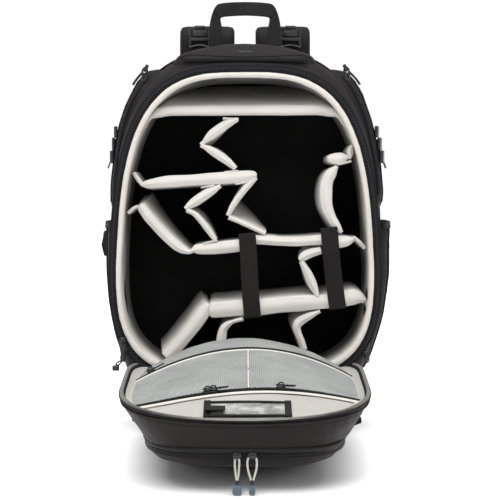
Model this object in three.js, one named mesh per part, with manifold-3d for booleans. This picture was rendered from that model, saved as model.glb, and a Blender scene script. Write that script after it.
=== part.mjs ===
// A camera backpack that stands on its base, with its front lid unzipped and folded down in front of it.
// Millimetres. +Z is up and -Y is the front, where the compartment opens.
// The origin is the point of the floor under the middle of the shell.
// A front view has X to the right and Z up. Left and right are as seen in it.
import * as THREE from "three";
import { mergeVertices } from "three/addons/utils/BufferGeometryUtils.js";
import Module from "manifold-3d";

const wasm = await Module();
wasm.setup();

// Clearance between pieces that touch.
const GAP = 0.4;

// The compartment's opening, at the outer edge of its piping.
const OPENING_HALF = 181;
const OPENING_TOP = 509;
const OPENING_BOTTOM = 78;
const OPENING_TAPER = 0.0755;

// The shell's largest outline, and the height where it and the opening are widest.
const SHELL_HALF = 193;
const SHELL_TOP = 546;
const WAIST_HEIGHT = 239;
const SHELL_DEPTH = 170;
const SHELL_WALL = 6;
const RIM_WIDTH = 6;
const LINING_WALL = 6;
const BACK_LINING = 3;
const PIPING_RADIUS = 4;
const ZIP_TAPE_WIDTH = 9;
const ZIP_TAPE_HEIGHT = 1.6;
const RIM_Y = -SHELL_DEPTH / 2;
const BACK_Y = SHELL_DEPTH / 2;

// The lid, as it lies folded forward: length from the hinge, half width, and heights over the floor.
const LID_LENGTH = 440;
const LID_HALF = 162;
const LID_TAPER = 0.1;
const LID_WALL = 4;
const LID_RIM_HEIGHT = 102;
const LID_RIM_DROP = 16;
const LID_HINGE_DROP = 8;
const LID_SPLIT_HEIGHT = 51;
const LID_LINING_DROP = 12;
const LID_LINING_WALL = 3;
const LID_BULGE = 50;
const HINGE_DEPTH = 5;
const HINGE_HALF = 105;
const FRONT_POCKET_WALL = 3;

// Padded dividers stand between the rim and the back of the compartment.
const DIVIDER_RECESS = 6;

// Webbing and what is worn.
const WEBBING = 2.4;
const HANDLE_HALF = 53;
const HANDLE_TOP = 619;
const HANDLE_WEBBING = 21;
const HANDLE_Y = 30;
const STRAP_PAD_THICKNESS = 14;
const STRAP_PAD_HALF = 40;
const STRAP_PAD_TOP = 586;
const STRAP_PAD_FOOT = 84;
const STRAP_CENTRE = 57;
const STRAP_TAIL_WIDTH = 25;
const STRAP_TAIL_THICKNESS = 3;
const BACK_PAD = { thickness: 12, inner: 10, outer: 88, bottom: 60, top: 500, corner: 30, bevel: 5 };

const v = (x, y, z) => new THREE.Vector3(x, y, z);
const mix = (a, b, t) => a + (b - a) * t;
const smooth = (t) => {
  const c = Math.min(1, Math.max(0, t));
  return c * c * (3 - 2 * c);
};

// Reads a table of { at, value } rows with straight lines between them.
function follow(table, at) {
  const next = table.findIndex((row) => row.at >= at);
  if (next <= 0) return table[next === 0 ? 0 : table.length - 1].value;
  const a = table[next - 1];
  const b = table[next];
  return mix(a.value, b.value, (at - a.at) / (b.at - a.at));
}

// Spreads count points evenly along a line of points; a closed line ends where it starts.
function evenly(points, count) {
  const run = [0];
  for (let i = 1; i < points.length; i++) {
    run.push(run[i - 1] + points[i].distanceTo(points[i - 1]));
  }
  const even = [];
  let k = 1;
  for (let i = 0; i < count; i++) {
    const at = (run[run.length - 1] * i) / (count - 1);
    while (k < run.length - 1 && run[k] < at) k++;
    const t = (at - run[k - 1]) / (run[k] - run[k - 1]);
    even.push(points[k - 1].clone().lerp(points[k], t));
  }
  return even;
}

// A closed body through rings of equally many points, with both end rings capped.
function loft(rings) {
  const count = rings[0].length;
  const position = rings.flat().flatMap((p) => [p.x, p.y, p.z]);
  const index = [];
  for (let r = 0; r < rings.length - 1; r++) {
    for (let i = 0; i < count; i++) {
      const a = r * count + i;
      const b = r * count + ((i + 1) % count);
      index.push(a, b, b + count, a, b + count, a + count);
    }
  }
  const cap = (ring, start, flip) => {
    const middle = ring.reduce((sum, p) => sum.add(p), v(0, 0, 0)).divideScalar(count);
    const centre = position.push(middle.x, middle.y, middle.z) / 3 - 1;
    for (let i = 0; i < count; i++) {
      const a = start + i;
      const b = start + ((i + 1) % count);
      index.push(...(flip ? [b, a, centre] : [a, b, centre]));
    }
  };
  cap(rings[0], 0, true);
  cap(rings[rings.length - 1], (rings.length - 1) * count, false);
  const geometry = new THREE.BufferGeometry();
  geometry.setAttribute("position", new THREE.Float32BufferAttribute(position, 3));
  geometry.setIndex(index);
  return outward(geometry);
}

// Turns a closed geometry's faces outwards.
function outward(geometry) {
  const p = geometry.attributes.position;
  const index = geometry.index.array;
  const [a, b, c] = [v(0, 0, 0), v(0, 0, 0), v(0, 0, 0)];
  let volume = 0;
  for (let i = 0; i < index.length; i += 3) {
    a.fromBufferAttribute(p, index[i]);
    b.fromBufferAttribute(p, index[i + 1]);
    c.fromBufferAttribute(p, index[i + 2]);
    volume += a.dot(b.cross(c));
  }
  if (volume < 0) {
    for (let i = 0; i < index.length; i += 3) {
      [index[i], index[i + 1]] = [index[i + 1], index[i]];
    }
  }
  return geometry;
}

function solid(geometry) {
  const bare = new THREE.BufferGeometry();
  bare.setAttribute("position", geometry.attributes.position.clone());
  if (geometry.index) bare.setIndex(geometry.index.clone());
  const merged = mergeVertices(bare, 1e-3);
  return new wasm.Manifold(
    new wasm.Mesh({
      numProp: 3,
      vertProperties: merged.attributes.position.array,
      triVerts: new Uint32Array(merged.index.array),
    }),
  );
}

// The largest body of a cut solid, as a geometry.
function geometryOf(cut) {
  const body = cut.simplify(0.02).decompose().sort((a, b) => b.volume() - a.volume())[0];
  const { numProp, vertProperties, triVerts } = body.getMesh();
  const position = new Float32Array((vertProperties.length / numProp) * 3);
  for (let i = 0; i < position.length / 3; i++) {
    position.set(vertProperties.subarray(i * numProp, i * numProp + 3), i * 3);
  }
  const geometry = new THREE.BufferGeometry();
  geometry.setAttribute("position", new THREE.BufferAttribute(position, 3));
  geometry.setIndex([...triVerts]);
  return geometry;
}

const without = (body, ...others) => others.reduce((left, other) => left.subtract(other), body);

// Prisms of a shape drawn in the front view and in the plan.
function frontPrism(shape, yFront, yBack, bevel = 0) {
  const inset = Math.min(bevel, (yBack - yFront) / 3);
  return new THREE.ExtrudeGeometry(shape, {
    depth: yBack - yFront - inset,
    bevelEnabled: bevel > 0,
    bevelSize: bevel,
    bevelOffset: -bevel,
    bevelThickness: inset,
    bevelSegments: 1,
    steps: 1,
  })
    .rotateX(Math.PI / 2)
    .translate(0, yBack, 0);
}

function planPrism(shape, zFrom, zTo) {
  return new THREE.ExtrudeGeometry(shape, { depth: zTo - zFrom, bevelEnabled: false, steps: 1 })
    .translate(0, 0, zFrom);
}

function rounded(xFrom, yFrom, xTo, yTo, radius) {
  const shape = new THREE.Shape();
  shape.moveTo(xFrom + radius, yFrom);
  shape.lineTo(xTo - radius, yFrom);
  shape.absarc(xTo - radius, yFrom + radius, radius, -Math.PI / 2, 0);
  shape.lineTo(xTo, yTo - radius);
  shape.absarc(xTo - radius, yTo - radius, radius, 0, Math.PI / 2);
  shape.lineTo(xFrom + radius, yTo);
  shape.absarc(xFrom + radius, yTo - radius, radius, Math.PI / 2, Math.PI);
  shape.lineTo(xFrom, yFrom + radius);
  shape.absarc(xFrom + radius, yFrom + radius, radius, Math.PI, 1.5 * Math.PI);
  return new THREE.Shape(shape.getPoints(1));
}

// A flat band of webbing or padding along a path. across is the direction of its width.
function ribbon(path, across, width, thickness) {
  const side = across.clone().normalize();
  const wide = typeof width === "function" ? width : () => width;
  const thick = typeof thickness === "function" ? thickness : () => thickness;
  const rings = path.map((p, i) => {
    const before = path[Math.max(0, i - 1)];
    const after = path[Math.min(path.length - 1, i + 1)];
    const along = after.clone().sub(before).normalize();
    const normal = along.clone().cross(side).normalize();
    const leg = (i > 0 ? p.clone().sub(before) : after.clone().sub(p)).normalize();
    const mitre = Math.min(1.6, 1 / Math.max(0.3, leg.dot(along)));
    const t = i / (path.length - 1);
    return [
      [-1, -1],
      [1, -1],
      [1, 1],
      [-1, 1],
    ].map(([w, n]) =>
      p
        .clone()
        .addScaledVector(side, (w * wide(t)) / 2)
        .addScaledVector(normal, (n * thick(t) * mitre) / 2),
    );
  });
  return loft(rings);
}

const curve = (points, count) => new THREE.CatmullRomCurve3(points).getPoints(count);

// A closed line of an even number of points, as evenly spaced in its first half as in its second.
function evenRing(place, count) {
  const steps = 360;
  const half = (start) => {
    const fine = [];
    for (let i = 0; i <= steps; i++) fine.push(place(start + (Math.PI * i) / steps));
    return evenly(fine, count / 2 + 1).slice(0, count / 2);
  };
  return [...half(0), ...half(Math.PI)];
}

// A power of a sine or cosine that keeps its sign.
const signedPower = (value, power) => Math.sign(value) * Math.abs(value) ** power;

// An outline in the front view, seen from the waist height where it is widest.
// It is a superellipse over the waist and another one below it.
// The taper draws each half in towards its end.
function frontRing(y, o, count = 48) {
  const place = (angle) => {
    const upper = Math.sin(angle) >= 0;
    const power = 2 / (upper ? o.powerUp : o.powerDown);
    const rise = Math.abs(Math.sin(angle)) ** power;
    const run = signedPower(Math.cos(angle), power);
    const draw = upper ? 1 - o.taperUp * rise : 1 - o.taperDown * rise * rise;
    const z = WAIST_HEIGHT + rise * (upper ? o.top - WAIST_HEIGHT : o.bottom - WAIST_HEIGHT);
    return v(o.half * run * draw, y, z);
  };
  return evenRing(place, count).map((p) => p.setZ(Math.max(o.floor ?? 0, p.z)));
}

const opening = (grow) => ({
  half: OPENING_HALF + grow,
  top: OPENING_TOP + grow,
  bottom: OPENING_BOTTOM - grow,
  powerUp: 3.2,
  powerDown: 3.2,
  taperUp: OPENING_TAPER,
  taperDown: 0,
});

// The shell's outlines, at shares of its depth. front is how far an outline still is the opening's.
// round is taken off the sides and the top, and lift is how far the bottom rises.
const SHELL_SECTIONS = [
  { share: 0, front: 1, round: 0, lift: 0 },
  { share: 0.05, front: 0.7, round: 0, lift: 0 },
  { share: 0.13, front: 0.36, round: 0, lift: 0 },
  { share: 0.24, front: 0.11, round: 0, lift: 0 },
  { share: 0.38, front: 0, round: 0, lift: 0 },
  { share: 0.8, front: 0, round: 1, lift: 0 },
  { share: 0.92, front: 0, round: 4, lift: 8 },
  { share: 0.975, front: 0, round: 8, lift: 20 },
  { share: 1, front: 0, round: 14, lift: 30 },
];
// The shell's outline would reach this far below the floor, and is cut off flat there.
const SHELL_SINK = 16;
const SHELL_POWER_UP = 2.9;
const SHELL_POWER_DOWN = 5;
const SHELL_TAPER_DOWN = 0.34;

function shellOutline(row, grow) {
  const rim = opening(RIM_WIDTH + grow);
  const full = {
    half: SHELL_HALF - row.round + grow,
    top: SHELL_TOP - row.round + grow,
    bottom: row.lift - SHELL_SINK - grow,
    powerUp: SHELL_POWER_UP,
    powerDown: SHELL_POWER_DOWN,
    taperUp: 0,
    taperDown: SHELL_TAPER_DOWN,
  };
  const outline = { floor: -Math.max(0, grow) };
  for (const key of Object.keys(full)) outline[key] = mix(full[key], rim[key], row.front);
  return outline;
}

const shellRings = (grow) =>
  SHELL_SECTIONS.map((row) => {
    const end = row.share === 0 ? -1 : row.share === 1 ? 1 : 0;
    return frontRing(RIM_Y + row.share * SHELL_DEPTH + end * grow, shellOutline(row, grow));
  });

// Half of the shell's width at a height, where it is widest from front to back.
function shellSide(z) {
  const up = z >= WAIST_HEIGHT;
  const reach = up ? SHELL_TOP - WAIST_HEIGHT : WAIST_HEIGHT + SHELL_SINK;
  const rise = Math.min(1, Math.abs(z - WAIST_HEIGHT) / reach);
  const power = up ? SHELL_POWER_UP : SHELL_POWER_DOWN;
  const draw = up ? 1 : 1 - SHELL_TAPER_DOWN * rise * rise;
  return SHELL_HALF * (1 - rise ** power) ** (1 / power) * draw;
}

// Closes a run of rings from its last one back to its first one.
function loftLoop(rings) {
  const count = rings[0].length;
  const position = rings.flat().flatMap((p) => [p.x, p.y, p.z]);
  const index = [];
  for (let r = 0; r < rings.length; r++) {
    const next = ((r + 1) % rings.length) * count;
    for (let i = 0; i < count; i++) {
      const j = (i + 1) % count;
      index.push(r * count + i, r * count + j, next + j);
      index.push(r * count + i, next + j, next + i);
    }
  }
  const geometry = new THREE.BufferGeometry();
  geometry.setAttribute("position", new THREE.Float32BufferAttribute(position, 3));
  geometry.setIndex(index);
  return outward(geometry);
}

const liningFront = RIM_Y + PIPING_RADIUS + GAP;
const backLiningBack = BACK_Y - SHELL_WALL - GAP;
const backLiningFront = backLiningBack - BACK_LINING;
const liningBack = backLiningFront - GAP;

function shellGeometry() {
  const inside = (y) => frontRing(y, opening(GAP));
  return loft([...shellRings(0).reverse(), inside(RIM_Y), inside(BACK_Y - SHELL_WALL)]);
}

function liningGeometry() {
  return loftLoop([
    frontRing(liningFront, opening(0)),
    frontRing(liningFront, opening(-LINING_WALL)),
    frontRing(liningBack, opening(-LINING_WALL)),
    frontRing(liningBack, opening(0)),
  ]);
}

function backLiningGeometry() {
  return loft([frontRing(backLiningFront, opening(0)), frontRing(backLiningBack, opening(0))]);
}

function pipingGeometry() {
  const sides = 6;
  const rings = [];
  for (let i = 0; i < sides; i++) {
    const angle = (2 * Math.PI * i) / sides;
    const inset = PIPING_RADIUS * (Math.cos(angle) - 1);
    rings.push(frontRing(RIM_Y + PIPING_RADIUS * Math.sin(angle), opening(inset)));
  }
  return loftLoop(rings);
}

// A band along part of some matching rings: the run of points where keep holds on the first one.
function bandAlong(rings, keep) {
  const first = rings[0];
  const start = first.findIndex((p, i) => keep(p) && !keep(first.at(i - 1)));
  const sections = [];
  for (let i = start; keep(first[i % first.length]); i++) {
    sections.push(rings.map((ring) => ring[i % ring.length]));
  }
  return loft(sections);
}

const zipReach = RIM_WIDTH + ZIP_TAPE_WIDTH / 2;
const atHinge = (p, clear) => p.z < WAIST_HEIGHT && Math.abs(p.x) < HINGE_HALF - clear;

// The half of the zip on the shell ends at both sides of the hinge.
function bodyZipGeometry() {
  const [back, front] = [RIM_Y - GAP, RIM_Y - GAP - ZIP_TAPE_HEIGHT];
  const corners = [
    [front, GAP],
    [front, zipReach],
    [back, zipReach],
    [back, GAP],
  ];
  return bandAlong(corners.map(([y, grow]) => frontRing(y, opening(grow))), (p) => !atHinge(p, 0));
}

// A pouch that lies against one side of the shell. Its rows run upwards. left and right are how far
// each side's pouch stands off the shell, and reach is half of its depth.
const UPPER_POUCH = [
  { z: 322, left: 1, right: 4, reach: 56 },
  { z: 336, left: 2, right: 9, reach: 64 },
  { z: 380, left: 4, right: 10, reach: 66 },
  { z: 430, left: 9, right: 12, reach: 64 },
  { z: 466, left: 12, right: 15, reach: 62 },
  { z: 484, left: 14, right: 19, reach: 60 },
  { z: 500, left: 18, right: 22, reach: 54 },
  { z: 514, left: 20, right: 23, reach: 44 },
];
const LOWER_POUCH = [
  { z: 84, left: 1.4, right: 3, reach: 46 },
  { z: 104, left: 3.6, right: 8, reach: 54 },
  { z: 150, left: 5, right: 11, reach: 60 },
  { z: 200, left: 5.8, right: 13, reach: 62 },
  { z: 250, left: 6.8, right: 15.5, reach: 62 },
  { z: 286, left: 6.8, right: 16, reach: 61 },
  { z: 300, left: 6.3, right: 15, reach: 60 },
];
const POUCH_WALL = 2.5;
const POUCH_ROOT = 16;
const POUCH_MIDDLE = 2;
const POUCH_POWER = 0.6;
const POUCH_LEAST = 1;

function pouchRing(side, z, bulge, reach) {
  const ring = [];
  const count = 20;
  for (let i = 0; i < count; i++) {
    const angle = (2 * Math.PI * i) / count;
    const out = (POUCH_ROOT + bulge) * signedPower(Math.cos(angle), POUCH_POWER);
    const y = POUCH_MIDDLE + reach * signedPower(Math.sin(angle), POUCH_POWER);
    ring.push(v(side * (shellSide(z) - POUCH_ROOT + out), y, z));
  }
  return ring;
}

// A pouch is hollow towards the shell. An open one has no top.
function pouch(side, rows, open, shellBody) {
  const ring = (r, wall, rise = 0) => {
    const bulge = wall ? Math.max(POUCH_LEAST, r[side.name] - wall) : r[side.name];
    return pouchRing(side.sign, r.z + rise, bulge, r.reach - wall);
  };
  const outside = rows.map((r) => ring(r, 0));
  const inside = rows.slice(1, open ? rows.length : -1).map((r) => ring(r, POUCH_WALL));
  if (open) inside.push(ring(rows[rows.length - 1], POUCH_WALL, POUCH_WALL));
  return geometryOf(without(solid(loft(outside)), solid(loft(inside)), shellBody));
}

// The padded hood on the shell's top, as rows from front to back.
const HOOD_SECTIONS = [
  { y: -70, half: 84, top: 534 },
  { y: -62, half: 90, top: 545 },
  { y: -40, half: 92, top: 552 },
  { y: 0, half: 92, top: 556 },
  { y: 40, half: 90, top: 556 },
  { y: 66, half: 84, top: 551 },
];
const HOOD_DEPTH = 60;
const HOOD_CROWN = 14;
const HOOD_POINTS = 40;

function hoodBody(grow) {
  const rings = HOOD_SECTIONS.map((row, index) => {
    const end = index === 0 ? -1 : index === HOOD_SECTIONS.length - 1 ? 1 : 0;
    const ring = [];
    for (let i = 0; i < HOOD_POINTS; i++) {
      const angle = (2 * Math.PI * i) / HOOD_POINTS;
      const x = (row.half + grow) * signedPower(Math.cos(angle), 0.5);
      const rise = HOOD_DEPTH * signedPower(Math.sin(angle), 0.5);
      const drop = HOOD_CROWN * (x / row.half) ** 2;
      ring.push(v(x, row.y + end * grow, row.top + grow - HOOD_DEPTH + rise - drop));
    }
    return ring;
  });
  return solid(loft(rings));
}

// An arch of flat webbing with mitred corners, its feet cut to the hood.
// The outside rises inwards to the corner at mitreOut, and the inside rises outwards to mitreIn.
const HANDLE_MITRE = { lean: 3, mitreOut: 12, rise: 24, mitreIn: 4, sag: 3 };

function handleGeometry() {
  const foot = HOOD_SECTIONS[3].top - HOOD_CROWN;
  const crown = HANDLE_TOP - HANDLE_WEBBING;
  const { lean, mitreOut, rise, mitreIn, sag } = HANDLE_MITRE;
  const inner = HANDLE_HALF - HANDLE_WEBBING;
  const outline = [
    { half: HANDLE_HALF, z: foot },
    { half: HANDLE_HALF - lean, z: HANDLE_TOP - rise },
    { half: HANDLE_HALF - mitreOut, z: HANDLE_TOP - sag },
    { half: inner / 2, z: HANDLE_TOP },
  ];
  const inline = [
    { half: inner, z: foot },
    { half: inner + mitreIn, z: crown - sag },
    { half: inner / 2, z: crown },
  ];
  const points = [
    ...outline,
    ...[...outline].reverse().map((p) => ({ half: -p.half, z: p.z })),
    ...inline.map((p) => ({ half: -p.half, z: p.z })),
    ...[...inline].reverse(),
  ];
  const shape = new THREE.Shape(points.map((p) => new THREE.Vector2(p.half, p.z)));
  const arch = solid(frontPrism(shape, HANDLE_Y - WEBBING, HANDLE_Y + WEBBING));
  return geometryOf(arch.subtract(hoodBody(GAP)));
}

// A shoulder strap leaves the back of the shell, turns over above it and hangs down behind.
// out is a share of the strap's distance from the middle, and off how far it is off the back.
// down is taken from the strap's top, and up from its foot.
const STRAP_PATH = [
  { out: 1, off: 0, down: 70 },
  { out: 1, off: 0, down: 41 },
  { out: 1, off: 2, down: 14 },
  { out: 1, off: 15, down: 0 },
  { out: 1, off: 28, down: 14 },
  { out: 1.02, off: 30, down: 46 },
  { out: 1.1, off: 29, down: 156 },
  { out: 1.35, off: 28, down: 266 },
  { out: 1.7, off: 22, up: 136 },
  { out: 1.85, off: 10, up: 46 },
  { out: 1.85, off: 0, up: 0 },
];

function shoulderStrapGeometry(side) {
  const back = BACK_Y + GAP + STRAP_PAD_THICKNESS / 2;
  const points = STRAP_PATH.map((row) => {
    const z = row.down === undefined ? STRAP_PAD_FOOT + row.up : STRAP_PAD_TOP - row.down;
    return v(side * STRAP_CENTRE * row.out, back + row.off, z);
  });
  const path = curve(points, 26);
  const width = (t) => mix(2 * STRAP_PAD_HALF, STRAP_TAIL_WIDTH, smooth((t - 0.45) / 0.35));
  const thickness = (t) => mix(STRAP_PAD_THICKNESS, STRAP_TAIL_THICKNESS, smooth((t - 0.6) / 0.2));
  return ribbon(path, v(1, 0, 0), width, thickness);
}

const LIFTER_WIDTH = 24;
const LIFTER_X = 68;
const LIFTER_Y = BACK_Y - WEBBING / 2;
const LIFTER_FROM = 534;
const LIFTER_TO = 580;
const LADDER = { bottom: 557, top: 590, side: 4, thickness: 4, corner: 4, slotCorner: 1.5 };
const LADDER_SLOTS = [
  { from: 4, to: 10 },
  { from: 16, to: 22 },
];

function loadLifterGeometry(side) {
  const x = side * LIFTER_X;
  const path = [v(x, LIFTER_Y, LIFTER_FROM), v(x, LIFTER_Y, LIFTER_TO)];
  return ribbon(path, v(1, 0, 0), LIFTER_WIDTH, WEBBING);
}

function ladderBuckleGeometry(side) {
  const x = side * LIFTER_X;
  const inner = LIFTER_WIDTH / 2;
  const outer = inner + LADDER.side;
  const shape = rounded(x - outer, LADDER.bottom, x + outer, LADDER.top, LADDER.corner);
  for (const slot of LADDER_SLOTS) {
    const [low, high] = [LADDER.bottom + slot.from, LADDER.bottom + slot.to];
    shape.holes.push(rounded(x - inner, low, x + inner, high, LADDER.slotCorner));
  }
  const back = LIFTER_Y - WEBBING / 2 - GAP;
  return frontPrism(shape, back - LADDER.thickness, back);
}

function backPadGeometry(side) {
  const edges = [side * BACK_PAD.inner, side * BACK_PAD.outer].sort((a, b) => a - b);
  const shape = rounded(edges[0], BACK_PAD.bottom, edges[1], BACK_PAD.top, BACK_PAD.corner);
  return frontPrism(shape, BACK_Y + GAP, BACK_Y + GAP + BACK_PAD.thickness, BACK_PAD.bevel);
}

// Dividers, as lines in shares of the opening's half width and of its height.
// Each is cut back to the ones before it.
const DIVIDERS = [
  {
    name: "divider_top",
    thickness: 12,
    lift: 46,
    line: [[-0.8, 0.82], [-0.76, 0.858], [-0.62, 0.871], [0.58, 0.874], [0.745, 0.864], [0.785, 0.832]],
  },
  {
    name: "divider_shelf",
    thickness: 13,
    line: [[-1, 0.72], [-0.88, 0.692], [-0.805, 0.65], [-0.5, 0.652], [-0.23, 0.662], [0.085, 0.665]],
  },
  {
    name: "divider_middle",
    thickness: 13,
    line: [
      [-1, 0.56], [-0.815, 0.545], [-0.62, 0.48], [-0.44, 0.424], [-0.05, 0.434],
      [0.08, 0.447], [0.58, 0.454], [0.83, 0.457], [0.95, 0.421], [1, 0.4],
    ],
  },
  {
    name: "divider_lower",
    thickness: 13,
    line: [[-0.28, 0.235], [-0.01, 0.235], [0.13, 0.245], [0.65, 0.252], [1.05, 0.268]],
  },
  {
    name: "divider_right",
    thickness: 15,
    line: [[0.714, 0.705], [0.636, 0.643], [0.621, 0.597], [0.667, 0.545], [0.76, 0.483]],
  },
  {
    name: "divider_slope",
    thickness: 13,
    line: [[-0.27, 0.205], [-0.465, 0.161], [-0.7, 0.07]],
  },
  {
    name: "divider_upper_fold",
    thickness: 12,
    line: [[-0.054, 0.846], [-0.326, 0.766], [-0.047, 0.694]],
  },
  {
    name: "divider_knee",
    thickness: 16,
    line: [[1, 0.78], [0.838, 0.766], [0.737, 0.74], [0.644, 0.721]],
  },
  {
    name: "divider_left_fold",
    thickness: 12,
    line: [[-0.202, 0.63], [-0.442, 0.558], [-0.24, 0.454]],
  },
  {
    name: "divider_centre_fold",
    thickness: 12,
    line: [[0.093, 0.639], [-0.116, 0.535], [0.147, 0.473]],
  },
  {
    name: "divider_lower_fold",
    thickness: 12,
    line: [[0.59, 0.424], [0.442, 0.389], [0.566, 0.271]],
  },
  {
    name: "divider_hook",
    thickness: 12,
    line: [[-0.016, 0.19], [-0.171, 0.183], [-0.217, 0.06]],
  },
  {
    name: "divider_bend",
    thickness: 12,
    line: [[0.582, 0.222], [0.403, 0.183], [0.45, 0.06]],
  },
];
const DIVIDER_ROUND = 3;
const openingPoint = ([x, z]) => [x * OPENING_HALF, mix(OPENING_BOTTOM, OPENING_TOP, z)];

// A prism of even thickness about a line, with rounded ends and corners.
function dividerPrism(row, grow, bevel) {
  const there = row.line.map(openingPoint);
  const hair = there.map(([x, z]) => [x, z + 0.02]).reverse();
  const stroke = new wasm.CrossSection([[...there, ...hair]], "NonZero");
  const grown = stroke.offset(row.thickness / 2 + grow, "Round", 2, 12).simplify(0.5);
  const outline = grown.toPolygons().sort((a, b) => b.length - a.length)[0];
  const shape = new THREE.Shape(outline.map(([x, z]) => new THREE.Vector2(x, z)));
  const front = liningFront + DIVIDER_RECESS - grow;
  const back = liningBack + grow;
  const prism = frontPrism(shape, front, back - GAP, bevel);
  const p = prism.attributes.position;
  for (let i = 0; i < p.count; i++) {
    const dome = 1 - (p.getX(i) / OPENING_HALF) ** 4;
    const run = (p.getY(i) - front) / (back - front);
    p.setZ(i, p.getZ(i) + (row.lift ?? 0) * dome * run);
  }
  return prism;
}

function dividerGeometries() {
  const room = solid(
    loft([
      frontRing(liningFront, opening(-LINING_WALL - GAP)),
      frontRing(liningBack, opening(-LINING_WALL - GAP)),
    ]),
  );
  const before = [];
  return DIVIDERS.map((row) => {
    const cut = solid(dividerPrism(row, 0, DIVIDER_ROUND)).intersect(room);
    const geometry = geometryOf(without(cut, ...before));
    before.push(solid(dividerPrism(row, GAP, 0)));
    return [row.name, geometry];
  });
}

// Elastic bands hang in front of the dividers, between the piping's back and the padding.
const ELASTICS = [
  { name: "elastic_strap_left", top: [0.012, 0.478], bottom: [0.06, 0.2] },
  { name: "elastic_strap_right", top: [0.648, 0.497], bottom: [0.72, 0.23] },
];
const ELASTIC_WIDTH = 24;

function elasticGeometry(row) {
  const y = liningFront + DIVIDER_RECESS - GAP - WEBBING / 2;
  const [top, bottom] = [row.top, row.bottom].map(openingPoint);
  const path = [v(top[0], y, top[1]), v(bottom[0], y, bottom[1])];
  return ribbon(path, v(1, 0, 0), ELASTIC_WIDTH, WEBBING);
}

// The lid lies in front of the hinge. A station is a distance from the shell's rim.
const LID_START = HINGE_DEPTH + 2 * GAP;
// The lid's far end is rounder than its hinge end.
const LID_END_POWER = 4.5;
const LID_HINGE_POWER = 7;
// How far the lid's wall leans in, at shares of its height from the split up to the rim.
const LID_LEAN = [
  { at: 0, value: 36 },
  { at: 0.1, value: 29 },
  { at: 0.5, value: 15 },
  { at: 0.88, value: 2 },
  { at: 1, value: 0 },
];
// The wall at the end that is away from the hinge leans by this share of it.
const LID_END_LEAN = 0.42;

// A rounded rectangle in the plan, from one station to another, with a power for each end's roundness.
function planRing(half, from, to, powers, height, taper = 0, count = 48) {
  const place = (angle) => {
    const power = 2 / (Math.sin(angle) >= 0 ? powers.end : powers.hinge);
    const station = mix(from, to, (1 + signedPower(Math.sin(angle), power)) / 2);
    const draw = 1 - (taper * station) / LID_LENGTH;
    return v(half * signedPower(Math.cos(angle), power) * draw, RIM_Y - station, 0);
  };
  return evenRing(place, count).map((p) => p.setZ(height(RIM_Y - p.y, p.x)));
}

// The rim's height over the floor dips at the hinge, and sags in the middle of the far end.
const HINGE_RISE = 36;
function lidRim(station, x) {
  const sag = smooth((station - 0.66 * LID_LENGTH) / (0.34 * LID_LENGTH)) * (1 - (x / LID_HALF) ** 2);
  const dip = 1 - smooth(station / HINGE_RISE);
  return LID_RIM_HEIGHT - LID_RIM_DROP * sag - LID_HINGE_DROP * dip;
}

function lidRing(share, wall, floor) {
  const lean = follow(LID_LEAN, share) + wall;
  const height = (station, x) => mix(LID_SPLIT_HEIGHT + floor, lidRim(station, x), share);
  const far = LID_LENGTH - (lean - wall) * LID_END_LEAN - wall;
  const powers = { end: LID_END_POWER, hinge: LID_HINGE_POWER };
  return planRing(LID_HALF - lean, LID_START + wall, far, powers, height, LID_TAPER);
}

function lidShellGeometry() {
  const shares = LID_LEAN.map((row) => row.at);
  return loft([
    ...shares.map((share) => lidRing(share, 0, 0)),
    ...[...shares].reverse().map((share) => lidRing(share, LID_WALL, LID_WALL)),
  ]);
}

// Moves a ring in the plan by a distance out from its middle.
function spread(ring, distance) {
  return ring.map((p, i) => {
    const along = ring[(i + 1) % ring.length].clone().sub(ring.at(i - 1)).setZ(0).normalize();
    return v(p.x - along.y * distance, p.y + along.x * distance, p.z);
  });
}

const raise = (ring, rise) => ring.map((p) => v(p.x, p.y, p.z + rise));

// The zip band stands on the lid's rim, all the way round from one end of the hinge to the other.
const LID_ZIP = { outside: 3, inside: 5 };

function lidZipGeometry() {
  const rim = lidRing(1, 0, 0);
  const low = 2 * GAP;
  const high = low + ZIP_TAPE_HEIGHT;
  const edges = [
    raise(spread(rim, LID_ZIP.outside), low),
    raise(spread(rim, LID_ZIP.outside), high),
    raise(spread(rim, -LID_ZIP.inside), high),
    raise(spread(rim, -LID_ZIP.inside), low),
  ];
  return bandAlong(edges, (p) => p.y < RIM_Y - HINGE_RISE);
}

// The part of the rim that the zip leaves free carries the hinge, a band of cloth.
function hingeGeometry() {
  const [back, front] = [RIM_Y - GAP, RIM_Y - GAP - HINGE_DEPTH];
  const corners = [
    [front, GAP + PIPING_RADIUS / 4],
    [front, zipReach],
    [back, zipReach],
    [back, GAP + PIPING_RADIUS / 4],
  ];
  return bandAlong(corners.map(([y, grow]) => frontRing(y, opening(grow))), (p) => atHinge(p, 6));
}

// The lid's lining is arched, highest near the hinge.
const LINING_INSET = 18;
const liningFrom = LID_START + LID_WALL + 3 * GAP;
const liningTo = LID_LENGTH - LINING_INSET * LID_END_LEAN - LID_WALL - GAP;

function lidLiningHalf(station) {
  const along = (2 * (station - liningFrom)) / (liningTo - liningFrom) - 1;
  const power = along > 0 ? LID_END_POWER : LID_HINGE_POWER;
  const round = Math.max(0, 1 - Math.abs(along) ** power) ** (1 / power);
  return (LID_HALF - LINING_INSET) * round * (1 - (LID_TAPER * station) / LID_LENGTH);
}

function lidLiningTop(x, station) {
  const arch = smooth((station - liningFrom) / 22) * (1 - station / LID_LENGTH) ** 0.8;
  const across = 1 - (x / (LID_HALF - LINING_INSET)) ** 2;
  return lidRim(station, x) - LID_LINING_DROP + LID_BULGE * arch * across;
}

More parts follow.
